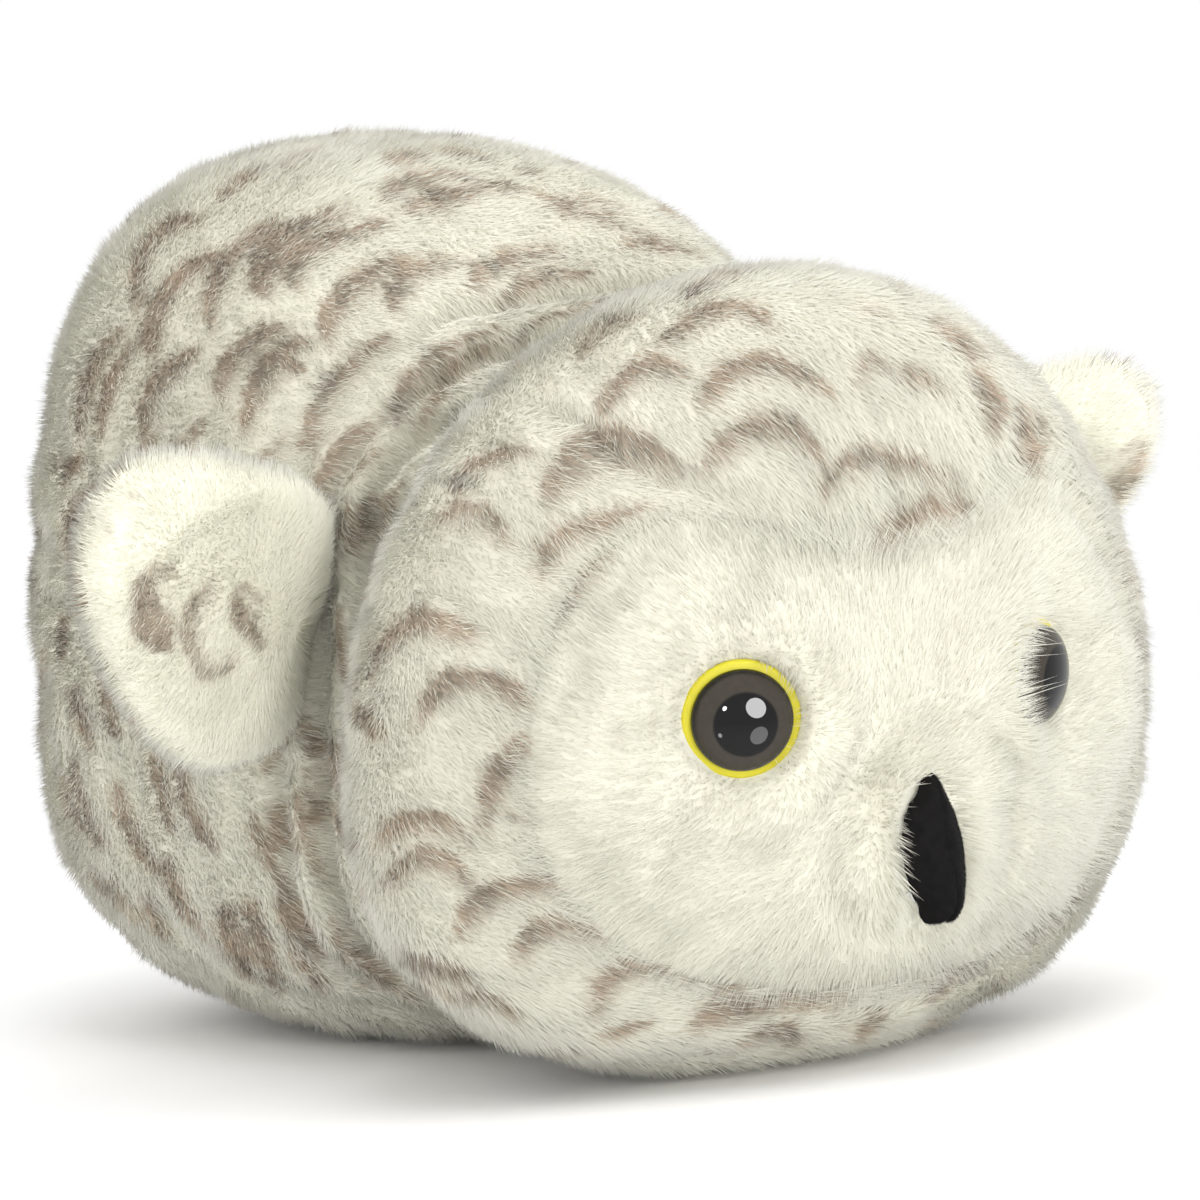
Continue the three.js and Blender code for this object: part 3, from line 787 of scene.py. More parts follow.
class Pile:
    """Tufts of fibre as slim closed spikes, grown on triangles and laid along a nap."""

    # How far a tuft is shaded as the backing under it, beside its own roundness
    skin_share = 0.15
    tip_lean = 0.6
    sink = 0.25 * MM

    def __init__(self, places, normals, triangles, density, seed):
        draw = np.random.default_rng(seed)
        corners = places[triangles]
        areas = np.linalg.norm(
            np.cross(corners[:, 1] - corners[:, 0], corners[:, 2] - corners[:, 0]), axis=1) / 2
        wanted = areas / MM ** 2 * density
        counts = np.floor(wanted + draw.uniform(0, 1, len(wanted))).astype(int)
        which = np.repeat(np.arange(len(triangles)), counts)
        a, b = draw.uniform(0, 1, (2, len(which)))
        fold = a + b > 1
        a[fold], b[fold] = 1 - a[fold], 1 - b[fold]
        self.corners = triangles[which]
        self.weights = np.stack([1 - a - b, a, b], 1)
        self.roots = self.share_out(places)
        self.normals = unit(self.share_out(normals))
        self.draw = draw
        self.scale = np.ones(len(self.roots))
        self.raised = np.zeros(len(self.roots))

    def share_out(self, values):
        """Values at the roots, from those at the vertices of the backing."""
        weights = self.weights if values.ndim == 1 else self.weights[:, :, None]
        return (values[self.corners] * weights).sum(1)

    def keep(self, mask):
        for name in ("roots", "normals", "scale", "raised", "corners", "weights"):
            setattr(self, name, getattr(self, name)[mask])

    def lay(self, nap, settings, seed):
        """Gives each tuft its direction: along the nap, lifted, and ruffled in soft locks."""
        count = len(self.roots)
        flat = nap - self.normals * (nap * self.normals).sum(1, keepdims=True)
        flat = unit(flat)
        side = np.cross(self.normals, flat)
        swirl = 0.16 * waves(self.roots, 34 * MM, seed) + 0.07 * waves(self.roots, 10 * MM, seed + 1)
        swirl += self.draw.normal(0, 0.15, count)
        lift = settings.lift * (1 + 0.1 * waves(self.roots, 14 * MM, seed + 2))
        lift += self.draw.normal(0, 0.09, count) + self.raised
        along = flat * np.cos(swirl)[:, None] + side * np.sin(swirl)[:, None]
        self.along = unit(
            along * np.cos(lift)[:, None] + self.normals * np.sin(lift)[:, None])
        self.lengths = settings.length * self.scale * self.draw.uniform(0.72, 1.12, count)
        self.lengths *= 1 + 0.1 * waves(self.roots, 16 * MM, seed + 3)
        self.widths = settings.width * self.draw.uniform(0.75, 1.2, count)

    def press_to_floor(self, height):
        """Keeps the tips of tufts under the toy on the floor."""
        tips = self.roots + self.along * self.lengths[:, None]
        low = tips[:, 2] < height
        tips[low, 2] = height
        self.along[low] = unit(tips[low] - self.roots[low])
        self.lengths[low] = np.linalg.norm(tips[low] - self.roots[low], axis=1)

    def over(self, share, height):
        """The places that lie at a height over the backing, level with a share of each tuft."""
        reach = self.along - self.normals * (self.along * self.normals).sum(1, keepdims=True)
        return self.roots + reach * (share * self.lengths)[:, None] + self.normals * height

    def mesh(self, name):
        """One mesh of all tufts: a spike on three root corners each, shaded as a round fibre."""
        count = len(self.roots)
        side = unit(np.cross(self.along, self.normals))
        crown = np.cross(side, self.along)
        crown *= np.sign((crown * self.normals).sum(1, keepdims=True))
        sunk = self.roots - self.normals * self.sink
        turns = np.radians([90, 210, 330])
        spokes = np.stack([crown * math.sin(turn) + side * math.cos(turn) for turn in turns], 1)
        corners = sunk[:, None] + spokes * (self.widths / math.sqrt(3))[:, None, None]
        tips = self.roots + self.along * self.lengths[:, None]
        places = np.concatenate([corners, tips[:, None]], 1).reshape(-1, 3)
        first = 4 * np.arange(count)[:, None]
        faces = (first + np.array([[0, 1, 3, 1, 2, 3, 2, 0, 3, 0, 2, 1]])).reshape(-1, 3)
        middle = places.reshape(-1, 4, 3).mean(1)
        corner = places[faces]
        facing = np.cross(corner[:, 1] - corner[:, 0], corner[:, 2] - corner[:, 0])
        outward = (facing * (corner.mean(1) - np.repeat(middle, 4, 0))).sum(1)
        faces[outward < 0] = faces[outward < 0][:, ::-1]
        end = unit(self.along + self.tip_lean * crown)
        shade = np.concatenate([spokes, end[:, None]], 1) + self.skin_share * self.normals[:, None]
        mesh = mesh_from(name, places, faces)
        bend_normals(mesh, unit(shade).reshape(-1, 3))
        return mesh


def dress(piece, pile, marks, warm, flat, seed):
    """Adds a pile to its panel, with the values that the plush material reads."""
    mesh = pile.mesh(piece.name + "_pile")
    draw = np.random.default_rng(seed)
    count = len(pile.roots)
    tone = draw.normal(0, 0.5, count) + 0.6 * waves(pile.roots, 11 * MM, seed)
    bare = np.where(draw.uniform(0, 1, count) < 0.2, 0.25, 1.0)
    stray = pile.along * draw.normal(0, 1.1 * MM, count)[:, None]
    hidden_end = bare * marks(pile.over(0.35, PILE_HEIGHT) + stray)
    tip = bare * marks(pile.over(0.92, PILE_HEIGHT) + stray)
    paint(
        mesh,
        mark=np.stack([hidden_end, hidden_end, hidden_end, tip], 1).ravel(),
        along=np.tile([0.0, 0.0, 0.0, 1.0], count),
        tone=np.repeat(tone, 4),
        warm=np.repeat(warm(pile.roots), 4),
    )
    map_pattern(mesh, np.repeat(flat(pile.roots), 4, 0))
    tufts = object_from(mesh.name, mesh)
    skin = piece.data
    places = points_of(skin)
    paint(
        skin,
        mark=marks(places + normals_of(skin) * PILE_HEIGHT),
        # The backing takes the pile's painted root shade at about a third of the way up a tuft
        along=np.full(len(places), 0.35),
        tone=np.zeros(len(places)),
        warm=warm(places),
    )
    bend_normals(skin, normals_of(skin))
    map_pattern(skin, flat(places))
    choose(piece)
    tufts.select_set(True)
    bpy.ops.object.join()


# Marks

class Marks:
    """Soft crescents of brown on the pile, as lines on the surface with a width and strength."""

    steps = 9

    # The most that a slanted surface may widen a traced mark
    slant = 2.2

    # A mark's half width as a share of its width, its taper, and the strength in its hollow
    core, taper, hollow_strength = 0.66, 0.55, 0.8

    # Scattered marks: half length, sag and width in millimetres, skew, and strength
    half_span, sag_span, width_span = (8, 14), (4, 8), (2.8, 4.8)
    skew_span, strength_span = (-0.35, 0.35), (0.75, 1.0)

    def __init__(self):
        self.lines = []

    def add(self, line, width, strength):
        if len(line) > 2:
            self.lines.append((np.array(line), width, strength))

    def trace(self, sight, tree, marks):
        """Casts marks traced on the photograph onto the surface that shows there."""
        for x0, y0, xm, ym, x1, y1, width, *more in marks:
            ends = np.array([[x0, y0], [x1, y1]], float)
            bend = 2 * np.array([xm, ym], float) - ends.mean(0)
            share = np.linspace(0, 1, self.steps)[:, None]
            curve = (1 - share) ** 2 * ends[0] + 2 * share * (1 - share) * bend + share ** 2 * ends[1]
            hits = [sight.hit(tree, *pixel) for pixel in curve]
            across = unit(ends[1] - ends[0])[::-1] * [1, -1] * width / 2
            rims = [sight.hit(tree, *(np.array([xm, ym]) + side * across)) for side in (1, -1)]
            found = [hit for hit in hits if hit is not None]
            if not found:
                continue
            real = np.linalg.norm(found[0] - sight.place) / sight.focal * width
            if all(rim is not None for rim in rims):
                real = min(np.linalg.norm(rims[0] - rims[1]), self.slant * real)
            self.add(found, real, more[0] if more else 1.0)

    def scatter(self, tree, candidates, nap, apart, hidden, seed):
        """Adds crescents at seeded places that the photograph doesn't show, clear of the others."""
        draw = np.random.default_rng(seed)
        taken = [line[len(line) // 2] for line, _, _ in self.lines]
        for place in candidates[draw.permutation(len(candidates))]:
            if not hidden(place):
                continue
            gap = apart * draw.uniform(0.85, 1.15)
            if taken and np.linalg.norm(np.array(taken) - place, axis=1).min() < gap:
                continue
            centre, normal = nearest(tree, place)
            lead = nap(centre[None])[0]
            lead = unit(lead - normal * (lead @ normal))
            side = np.cross(normal, lead)
            half = draw.uniform(*self.half_span) * MM
            sag = draw.uniform(*self.sag_span) * MM
            skew = draw.uniform(*self.skew_span)
            line = []
            for share in np.linspace(-1, 1, self.steps):
                bow = sag * (share * share - 0.4) + skew * half * share
                line.append(nearest(tree, centre + side * half * share + lead * bow)[0])
            self.add(line, draw.uniform(*self.width_span) * MM, draw.uniform(*self.strength_span))
            taken.append(centre)

    def __call__(self, places):
        """How brown each place is, from 0 to 1: crisp outside a crescent and faint in its hollow."""
        ruffle = 0.35 * MM * waves(places, 2.6 * MM, 71) + 0.5 * MM * waves(places, 7 * MM, 72)
        total = np.zeros(len(places))
        for line, width, strength in self.lines:
            middle = line.mean(0)
            reach = np.linalg.norm(line - middle, axis=1).max() + width + 5 * MM
            near = np.flatnonzero(np.abs(places - middle).max(1) < reach)
            if not len(near):
                continue
            here = places[near]
            sag = (line[0] + line[-1]) / 2 - line[len(line) // 2]
            bent = min(1.0, np.linalg.norm(sag) / (3 * MM))
            best, hollow = np.full(len(near), np.inf), np.zeros(len(near))
            for start in range(len(line) - 1):
                a, b = line[start], line[start + 1]
                run = b - a
                share = np.clip((here - a) @ run / max(run @ run, 1e-12), 0, 1)
                arms = here - a - share[:, None] * run
                away = np.linalg.norm(arms, axis=1)
                place = (start + share) / (len(line) - 1)
                rim = away - self.core * width * (1 - self.taper * np.abs(2 * place - 1) ** 2)
                closer = rim < best
                best[closer] = rim[closer]
                hollow[closer] = bent * np.clip((arms @ unit(sag))[closer] / MM, 0, 1)
            edge = best + ruffle[near]
            crisp = fade(-1.0, 1.2, edge)
            faint = self.hollow_strength * fade(-2.5, 5.0, edge)
            soft = crisp + hollow * (faint - crisp)
            total[near] = np.maximum(total[near], strength * soft)
        return total


# Materials

class Socket:
    """A shader value that takes part in sums: each sum adds the Math node that it needs."""

    def __init__(self, tree, link):
        self.tree, self.link = tree, link

    def join(self, operation, first, second):
        return self.tree.add("ShaderNodeMath", {"operation": operation}, first, second)

    def __add__(self, other):
        return self.join("ADD", self, other)

    def __sub__(self, other):
        return self.join("SUBTRACT", self, other)

    def __mul__(self, other):
        return self.join("MULTIPLY", self, other)

    def __pow__(self, other):
        return self.join("POWER", self, other)

    def __rsub__(self, other):
        return self.join("SUBTRACT", other, self)

    __radd__ = __add__
    __rmul__ = __mul__


class Shader:
    """A material's nodes, from the Principled shader back."""

    def __init__(self, name, **constants):
        self.material = bpy.data.materials.new(name)
        self.material.use_nodes = True
        self.nodes = self.material.node_tree.nodes
        self.links = self.material.node_tree.links
        self.surface = next(n for n in self.nodes if n.type == "BSDF_PRINCIPLED")
        for socket, value in constants.items():
            self.set(self.surface.inputs[socket.replace("_", " ")], value)

    def set(self, socket, value):
        if isinstance(value, Socket):
            self.links.new(value.link, socket)
        else:
            if hasattr(socket.default_value, "__len__") and len(value) < len(socket.default_value):
                value = (*value, 1.0)
            socket.default_value = value

    def add(self, kind, settings, *values, out=0, **named):
        """A node of this type, with its settings set first, then its sockets' values or links."""
        node = self.nodes.new(kind)
        for key, value in settings.items():
            setattr(node, key, value)
        for index, value in enumerate(values):
            self.set(node.inputs[index], value)
        for key, value in named.items():
            self.set(node.inputs[key.replace("_", " ")], value)
        return Socket(self, node.outputs[out])

    def channel(self, name):
        """A value stored on the mesh."""
        return self.add("ShaderNodeAttribute", {"attribute_name": name}, out="Fac")

    def place(self):
        return self.add("ShaderNodeTexCoord", {}, out="Object")

    def noise(self, size, detail=2.0):
        return self.add("ShaderNodeTexNoise", {}, Vector=self.place(), Scale=1 / size, Detail=detail)

    def ramp(self, value, low, high, first=0.0, last=1.0):
        settings = {"interpolation_type": "SMOOTHSTEP"}
        return self.add(
            "ShaderNodeMapRange", settings, Value=value, From_Min=low, From_Max=high,
            To_Min=first, To_Max=last)

    def mix(self, share, first, second, blend="MIX"):
        settings = {"data_type": "RGBA", "blend_type": blend}
        node = self.nodes.new("ShaderNodeMix")
        for key, value in settings.items():
            setattr(node, key, value)
        for index, value in ((0, share), (6, first), (7, second)):
            self.set(node.inputs[index], value)
        return Socket(self, node.outputs[2])

    def bump(self, height, strength, distance):
        normal = self.add(
            "ShaderNodeBump", {}, Height=height, Strength=strength, Distance=distance)
        self.feed(Normal=normal)

    def feed(self, **inputs):
        for socket, value in inputs.items():
            self.set(self.surface.inputs[socket.replace("_", " ")], value)


def plush_material(settings):
    """Cream pile with painted shade that darkens it towards its roots and paler panels that are partly
    painted light, with brown marks towards its tips.
    """
    shader = Shader(
        "plush_pile", Roughness=0.9, Specular_IOR_Level=0.2, Sheen_Weight=0.3, Sheen_Roughness=0.5)
    mark, along = shader.channel("mark"), shader.channel("along")
    tone, warm = shader.channel("tone"), shader.channel("warm")
    # Mixing towards the warm cream is partly painted light: paler pile where the lamps leave more shade
    plain = shader.mix(warm, tuple(settings.cream), tuple(settings.warm))
    speck = 1.01 - shader.ramp(tone, 1.5, -1.5, 0.0, 0.1) * (1.25 - warm)
    # Painted shade: the pile darkens towards its roots, as where the tufts shade each other
    shade = speck * shader.ramp(along, 0.0, 0.6, 0.95, 1.0)
    speck_and_root_shade = shader.add("ShaderNodeCombineColor", {}, shade, shade, shade)
    toned = shader.mix(1.0, plain, speck_and_root_shade, "MULTIPLY")
    brown = shader.mix(shader.ramp(tone, -1.3, 1.3), tuple(0.75 * value for value in settings.taupe),
                       tuple(2.8 * value for value in settings.taupe))
    share = shader.ramp(mark, 0.0, 0.9, 0.0, 0.92) * (0.8 + 0.2 * along)
    shader.feed(Base_Color=shader.mix(share, toned, brown))
    return shader.material


def fibre_material():
    shader = Shader("loose_fibre", Roughness=1.0, Sheen_Weight=0.3)
    noise = shader.noise(3 * MM, 6.0)
    shader.feed(Base_Color=shader.mix(noise, (0.82, 0.82, 0.8), (0.97, 0.97, 0.95)))
    shader.bump(noise, 0.8, 0.8 * MM)
    return shader.material


def velvet_material():
    shader = Shader(
        "black_velvet_pile", Roughness=0.9, Sheen_Weight=0.05, Sheen_Roughness=0.35,
        Sheen_Tint=(0.5, 0.5, 0.52), Specular_IOR_Level=0.1)
    noise = shader.noise(0.35 * MM, 3.0)
    patches = shader.noise(2.5 * MM)
    shader.feed(Base_Color=shader.mix(patches, (0.002, 0.002, 0.002), (0.011, 0.01, 0.01)))
    shader.bump(noise, 0.6, 0.15 * MM)
    return shader.material


def dome_material(settings):
    """A black pupil in a dark iris under a clear, polished face."""
    shader = Shader(
        "eye_dome_gloss", Roughness=0.25, Coat_Weight=1.0, Coat_Roughness=0.02, Coat_IOR=1.35,
        Specular_IOR_Level=0.0)
    radius = shader.channel("radius")
    grain = shader.noise(1.6 * MM, 3.0)
    iris = shader.mix(grain, tuple(0.8 * value for value in settings.iris),
                      tuple(1.2 * value for value in settings.iris))
    pupil = shader.ramp(radius, settings.pupil - 0.035, settings.pupil + 0.035)
    rim = shader.ramp(radius, 0.9, 0.99)
    black = (0.003, 0.003, 0.003)
    shader.feed(Base_Color=shader.mix(rim, shader.mix(pupil, black, iris), black))
    return shader.material


def ring_material(settings):
    shader = Shader("eye_ring_yellow", Roughness=0.5, Specular_IOR_Level=0.15)
    mottle = shader.noise(2 * MM)
    shader.feed(Base_Color=shader.mix(
        mottle, tuple(settings.yellow), tuple(min(1.0, 1.08 * value) for value in settings.yellow)))
    return shader.material


def washer_material():
    shader = Shader("moulded_washer", Roughness=0.5)
    noise = shader.noise(0.6 * MM)
    shader.feed(Base_Color=shader.mix(noise, (0.78, 0.78, 0.75), (0.86, 0.86, 0.84)))
    shader.bump(noise, 0.2, 0.05 * MM)
    return shader.material


# Torso

def torso_nap(torso, panel):
    """The way the pile lies on a panel: forward on the body, towards the face, and out over it."""
    muzzle = node_points("left_beak_panel", "right_beak_panel").mean(0)
    if panel == "face_panel":
        eye = eye_seat("right")[0]

        def over_face(places):
            arms = places - eye
            close = fade(12, 30, np.linalg.norm(arms, axis=1))
            return places - muzzle - np.array([0, 0, 6 * MM]) + 70 * MM * close[:, None] * unit(arms)
        return over_face
    if "hood" in panel:
        return lambda places: muzzle - places
    return lambda places: np.broadcast_to(FORWARD, places.shape)


def trim_round_eyes(pile):
    """No tuft grows under an eye's ring, and those beside it are short."""
    for name in SIDES:
        middle, axis = eye_seat(name)
        arms = pile.roots - middle
        away = np.linalg.norm(arms, axis=1)
        close = fade(13, 24, away)
        inner = smooth(-0.1, 0.6, -SIDES[name] * arms[:, 0] / away)
        upper = smooth(0.2, 0.9, arms[:, 2] / away)
        pile.scale *= 1 - close * (0.2 - 0.5 * inner - 0.1 * upper)
        pile.raised += close * (0.3 + 0.55 * inner)
        lone = (pile.draw.uniform(0, 1, len(away)) < LONE_SHARE) & (away < LONE_REACH)
        pile.scale[lone] *= LONE_LENGTH
        pile.keep(away > (EYE_EDGE + EYE_CLEAR[name] * inner) * MM)


def trim_round_beak(pile):
    """Clears the pile under the beak and shortens it beside."""
    beak = node_points("left_beak_panel", "right_beak_panel")
    low, high = beak.min(0), beak.max(0)
    middle, half = (low + high) / 2, (high - low) / 2
    beside = np.abs(pile.roots[:, 0]) / half[0]
    rise = np.abs(pile.roots[:, 2] - middle[2]) / half[2]
    reach = (beside ** BEAK_OVAL + rise ** BEAK_OVAL) ** (1 / BEAK_OVAL)
    lower = smooth(0.4, 1.0, (middle[2] - pile.roots[:, 2]) / half[2]) * (1 - smooth(0.5, 1.0, beside))
    pile.scale *= 1 + (1 - smooth(0.95, 1.5, reach)) * (0.9 - 1.35 * lower)
    pile.raised += (1 - smooth(1.0, 2.2, reach)) * 0.8 * (1 - lower)
    pile.keep(reach > 0.84)


def panel_paleness_and_light(share):
    """How warm and pale the pile is, partly as painted light, with slow changes over the toy."""
    return lambda places: np.clip(share + 0.15 * waves(places, 50 * MM, 5), 0, 1)


def marked_surface(places, normals, triangles):
    """The surface that shows, which is the backing plus most of the pile's height."""
    return tree_of(places + normals * PILE_HEIGHT, triangles)


class OWL_OT_torso(Operator):
    """Makes the six panels of the torso, with their pile and marks"""

    bl_idname = "owl.torso"
    bl_label = "Torso covers"

    def execute(self, context):
        owl = context.scene.owl_cover
        pile_settings = context.scene.owl_pile
        torso = Torso()
        cover = torso_cover(owl, torso)
        crease_neck(cover, torso, owl)
        places, normals, triangles, names = cut_panels(cover, torso)
        marks = self.make_marks(context, torso, places, normals, triangles, names)
        plush = plush_material(pile_settings)
        neck, rim = np.abs(torso.neck(places)), np.abs(torso.face(places))
        for seed, panel in enumerate(HEAD_NODES + BODY_NODES):
            faces = triangles[names == panel]
            piece = shell(panel.replace("_panel", "_cover"), places, faces, owl.thickness)
            pile = Pile(places, normals, faces, pile_settings.density, PILE_SEED + seed)
            under = pile.roots[:, 2] < 2.5 * MM
            thinned = pile.draw.uniform(0, pile_settings.density, len(under)) > pile_settings.under_density
            pile.keep(~(under & thinned))
            pile.raised += 0.55 * fade(2, 9, pile.share_out(neck))
            if panel not in BODY_NODES:
                pile.raised += 0.12 * fade(1, 8, pile.share_out(rim))
            if panel == "face_panel":
                trim_round_eyes(pile)
                trim_round_beak(pile)
            pile.lay(torso_nap(torso, panel)(pile.roots), pile_settings, NAP_SEED + seed)
            if panel == "face_panel":
                pile.widths *= 0.8
            pile.press_to_floor(0.15 * MM)
            marked = Marks() if panel == "face_panel" else marks
            inner, axis = self.pattern(panel, places, faces)
            # Each panel's paleness is partly painted light, set against how much the lamps light it
            dress(piece, pile, marked, panel_paleness_and_light(self.paleness_and_light(panel)),
                  lambda spots: flat_pattern(spots, inner, axis), TONE_SEED + seed)
            finish(piece, plush, panel, "torso")
        bpy.data.objects.remove(cover)
        return {"FINISHED"}

    def paleness_and_light(self, panel):
        """How warm and pale the pile of a panel is, from 0 to 1, partly as painted light."""
        if panel in BODY_NODES:
            return PALENESS_AND_PAINTED_LIGHT["body"]
        return PALENESS_AND_PAINTED_LIGHT["hood" if "hood" in panel else "face"]

    def pattern(self, panel, places, faces):
        """The point and axis round which a panel is spread for its UV map."""
        centre = places[np.unique(faces)].mean(0)
        aside = unit(centre * [1, 0, 0])
        centre[0] = 0
        if panel == "face_panel":
            return centre - FORWARD * PATTERN_DEPTH, FORWARD
        if panel == "belly_panel":
            return places.mean(0), np.array([0, 0, -1.0])
        return places.mean(0), aside

    def make_marks(self, context, torso, places, normals, triangles, names):
        sight = Sight(context.scene.owl_stage)
        surface = marked_surface(places, normals, triangles)
        marks = Marks()
        marks.trace(sight, surface, HEAD_MARKS)
        marks.trace(sight, surface, BODY_MARKS)
        spots = places[triangles[names != "face_panel"]].mean(1)
        spots = spots[spots[:, 2] > 8 * MM]
        wings = node_tree("right_wing_front_panel", "right_wing_back_panel")

        def hidden(place):
            centre, normal = nearest(surface, place)
            sightline = unit(sight.place - centre)
            if normal @ sightline <= 0.02:
                return True
            start = Vector(centre + normal * MM)
            return any(tree.ray_cast(start, Vector(sightline))[0] for tree in (surface, wings))

        def nap(points):
            on_head = torso.neck(points) > 0
            toward = torso_nap(torso, "left_hood_panel")(points)
            return np.where(on_head[:, None], unit(toward), FORWARD)

        marks.scatter(surface, spots, nap, TORSO_APART, hidden, 5)
        return marks


# Wings

class WingFrame:
    """A wing's own directions: out from its hinge, up along it, and front."""

    def __init__(self, name):
        joint = next(j for j in frame["joints"] if j["name"] == name + "_wing_hinge")
        self.place = np.array(joint["pos_m"])
        axis = np.array(joint["axis"], float)
        self.up = unit(axis * np.sign(axis[2]))
        front = node_points(name + "_wing_front_panel").mean(0)
        back = node_points(name + "_wing_back_panel").mean(0)
        out = (front + back) / 2 - self.place
        self.out = unit(out - self.up * (out @ self.up))
        normal = np.cross(self.out, self.up)
        self.front = normal * np.sign((front - back) @ normal)

    def local(self, places):
        """Out, up and front of each place."""
        arms = places - self.place
        return np.stack([arms @ self.out, arms @ self.up, arms @ self.front], 1)


def wing_cover(name, wing, settings):
    """A wing's outer surface, swollen in code and dished on its front."""
    nodes = [f"{name}_wing_{part}" for part in ("front_panel", "back_panel", "stuffing")]
    piece = merged_copy(name + "_wing_cover", nodes)
    modify(piece, "REMESH", mode="VOXEL", voxel_size=settings.voxel * 0.5)
    piece = largest_island(piece)
    modify(piece, "SMOOTH", factor=0.4, iterations=2)
    places = points_of(piece.data)
    local = wing.local(places)
    held = fade(2, 8, local[:, 0])
    fill_with_pressure(piece, held, settings, simulated=False)
    modify(piece, "SUBSURF", levels=1, render_levels=1)
    places = points_of(piece.data)
    local = wing.local(places)
    span, rise = local[:, 0].max(), local[:, 1]
    middle = np.array([0.5 * span, (rise.max() + rise.min()) / 2])
    half = np.array([0.5 * span, (rise.max() - rise.min()) / 2])
    arms = (local[:, :2] - middle) / half
    reach = np.linalg.norm(arms, axis=1)
    free = smooth(0.05, 0.5, local[:, 0] / span)
    grow = settings.rim * (smooth(0.4, 1.0, reach) * free)[:, None] * unit(arms)
    grow[:, 1] *= np.where(arms[:, 1] > 0, -0.25, 0.6)
    share, pulled, droop = WING_FORMS[name]
    grow[:, 0] *= share
    grow[:, 0] -= pulled * local[:, 0] * free
    grow[:, 1] -= droop * np.maximum(rise, 0) * free
    before = smooth(0, 3 * MM, local[:, 2])
    dish = WING_DISH * (1 - smooth(0.2, 0.75, reach)) * before
    roll = WING_ROLL * smooth(0.6, 0.88, reach) * free * before
    folds = np.sin(local[:, 1] / WING_FOLD_SPACING)
    folds = folds * np.exp(-((local[:, 0] / WING_FOLD_REACH) ** 2))
    push = roll - dish + WING_FOLD * folds * before
    moved = places + wing.front * push[:, None] + wing.out * grow[:, :1] + wing.up * grow[:, 1:]
    set_points(piece.data, moved)
    return piece


class OWL_OT_wings(Operator):
    """Makes both wings, each of a front and a back panel with their pile"""

    bl_idname = "owl.wings"
    bl_label = "Wings"

    def execute(self, context):
        owl, pile_settings = context.scene.owl_cover, context.scene.owl_pile
        plush = bpy.data.materials["plush_pile"]
        self.sight = Sight(context.scene.owl_stage)
        for seed, name in enumerate(reversed(SIDES)):
            wing = WingFrame(name)
            cover = wing_cover(name, wing, owl)
            places, normals, triangles = cut_along(cover, lambda spots: wing.local(spots)[:, 2])
            facing = wing.local(places[triangles].mean(1))[:, 2] > 0
            if name == "right":
                self.traced = marked_surface(places, normals, triangles[facing])
            for part, mine, sign in (("front", facing, 1), ("back", ~facing, -1)):
                self.panel(name, part, wing, sign, places, normals, triangles[mine], plush,
                           owl, pile_settings, WING_SEED + 10 * seed + sign)
            bpy.data.objects.remove(cover)
        return {"FINISHED"}

    def panel(self, name, part, wing, sign, places, normals, faces, plush, owl, pile_settings, seed):
        piece = shell(f"{name}_wing_{part}_cover", places, faces, owl.thickness)
        pile = Pile(places, normals, faces, pile_settings.density, seed)
        local = wing.local(pile.roots)
        middle = np.array([0.3 * local[:, 0].max(), 0.0])
        spread = local[:, :2] - middle
        nap = spread[:, :1] * wing.out + spread[:, 1:] * wing.up + 12 * MM * wing.out
        edge = smooth(0.35, 0.95, 1 - np.abs(pile.normals @ wing.front))
        pile.raised += 0.75 * edge * smooth(6 * MM, 20 * MM, local[:, 0])
        if part == "front":
            pile.scale *= 0.8 + 0.2 * edge
        pile.lay(nap, pile_settings, seed + 1)
        tree = marked_surface(places, normals, faces)
        marks = Marks()
        if part == "front":
            marks.trace(self.sight, self.traced, WING_MARKS)
            if name == "left":
                marks.lines = [
                    (np.array([nearest(tree, point * [-1, 1, 1])[0] for point in line]), width, strength)
                    for line, width, strength in marks.lines]
        else:
            spots = places[faces].mean(1)
            marks.scatter(tree, spots, lambda at: np.broadcast_to(wing.out, at.shape), WING_APART,
                          lambda place: True, seed)
        centre = places.mean(0) - sign * wing.front * 20 * MM
        # The wing fronts' palest pile is partly painted light, against the shade of the cheek in front of
        # them
        dress(piece, pile, marks, lambda at: np.full(len(at), PALENESS_AND_PAINTED_LIGHT[part]),
              lambda at: flat_pattern(at, centre, sign * wing.front), seed + 2)
        finish(piece, plush, f"{name}_wing_{part}_panel", name + "_wing")


# Eyes

def turned(name, profile, middle, axis, steps=72):
    """A closed shape of revolution from radii and heights, stood on a middle along an axis."""
    piece = object_from(name, bpy.data.meshes.new(name))
    work = bmesh.new()
    verts = [work.verts.new((radius, 0, height)) for radius, height in profile]
    for first, second in zip(verts, verts[1:]):
        work.edges.new((first, second))
    work.to_mesh(piece.data)
    work.free()
    modify(piece, "SCREW", angle=2 * math.pi, steps=steps, render_steps=steps, axis="Z",
           use_merge_vertices=True, merge_threshold=MERGE)
    choose(piece)
    edit_all(
        lambda: bpy.ops.mesh.remove_doubles(threshold=MERGE),
        lambda: bpy.ops.mesh.normals_make_consistent(inside=False))
    bpy.ops.object.shade_smooth_by_angle(angle=math.radians(40))
    turn = Vector(axis).to_track_quat("Z", "Y").to_matrix().to_4x4()
    piece.data.transform(Matrix.Translation(Vector(middle)) @ turn)
    return piece


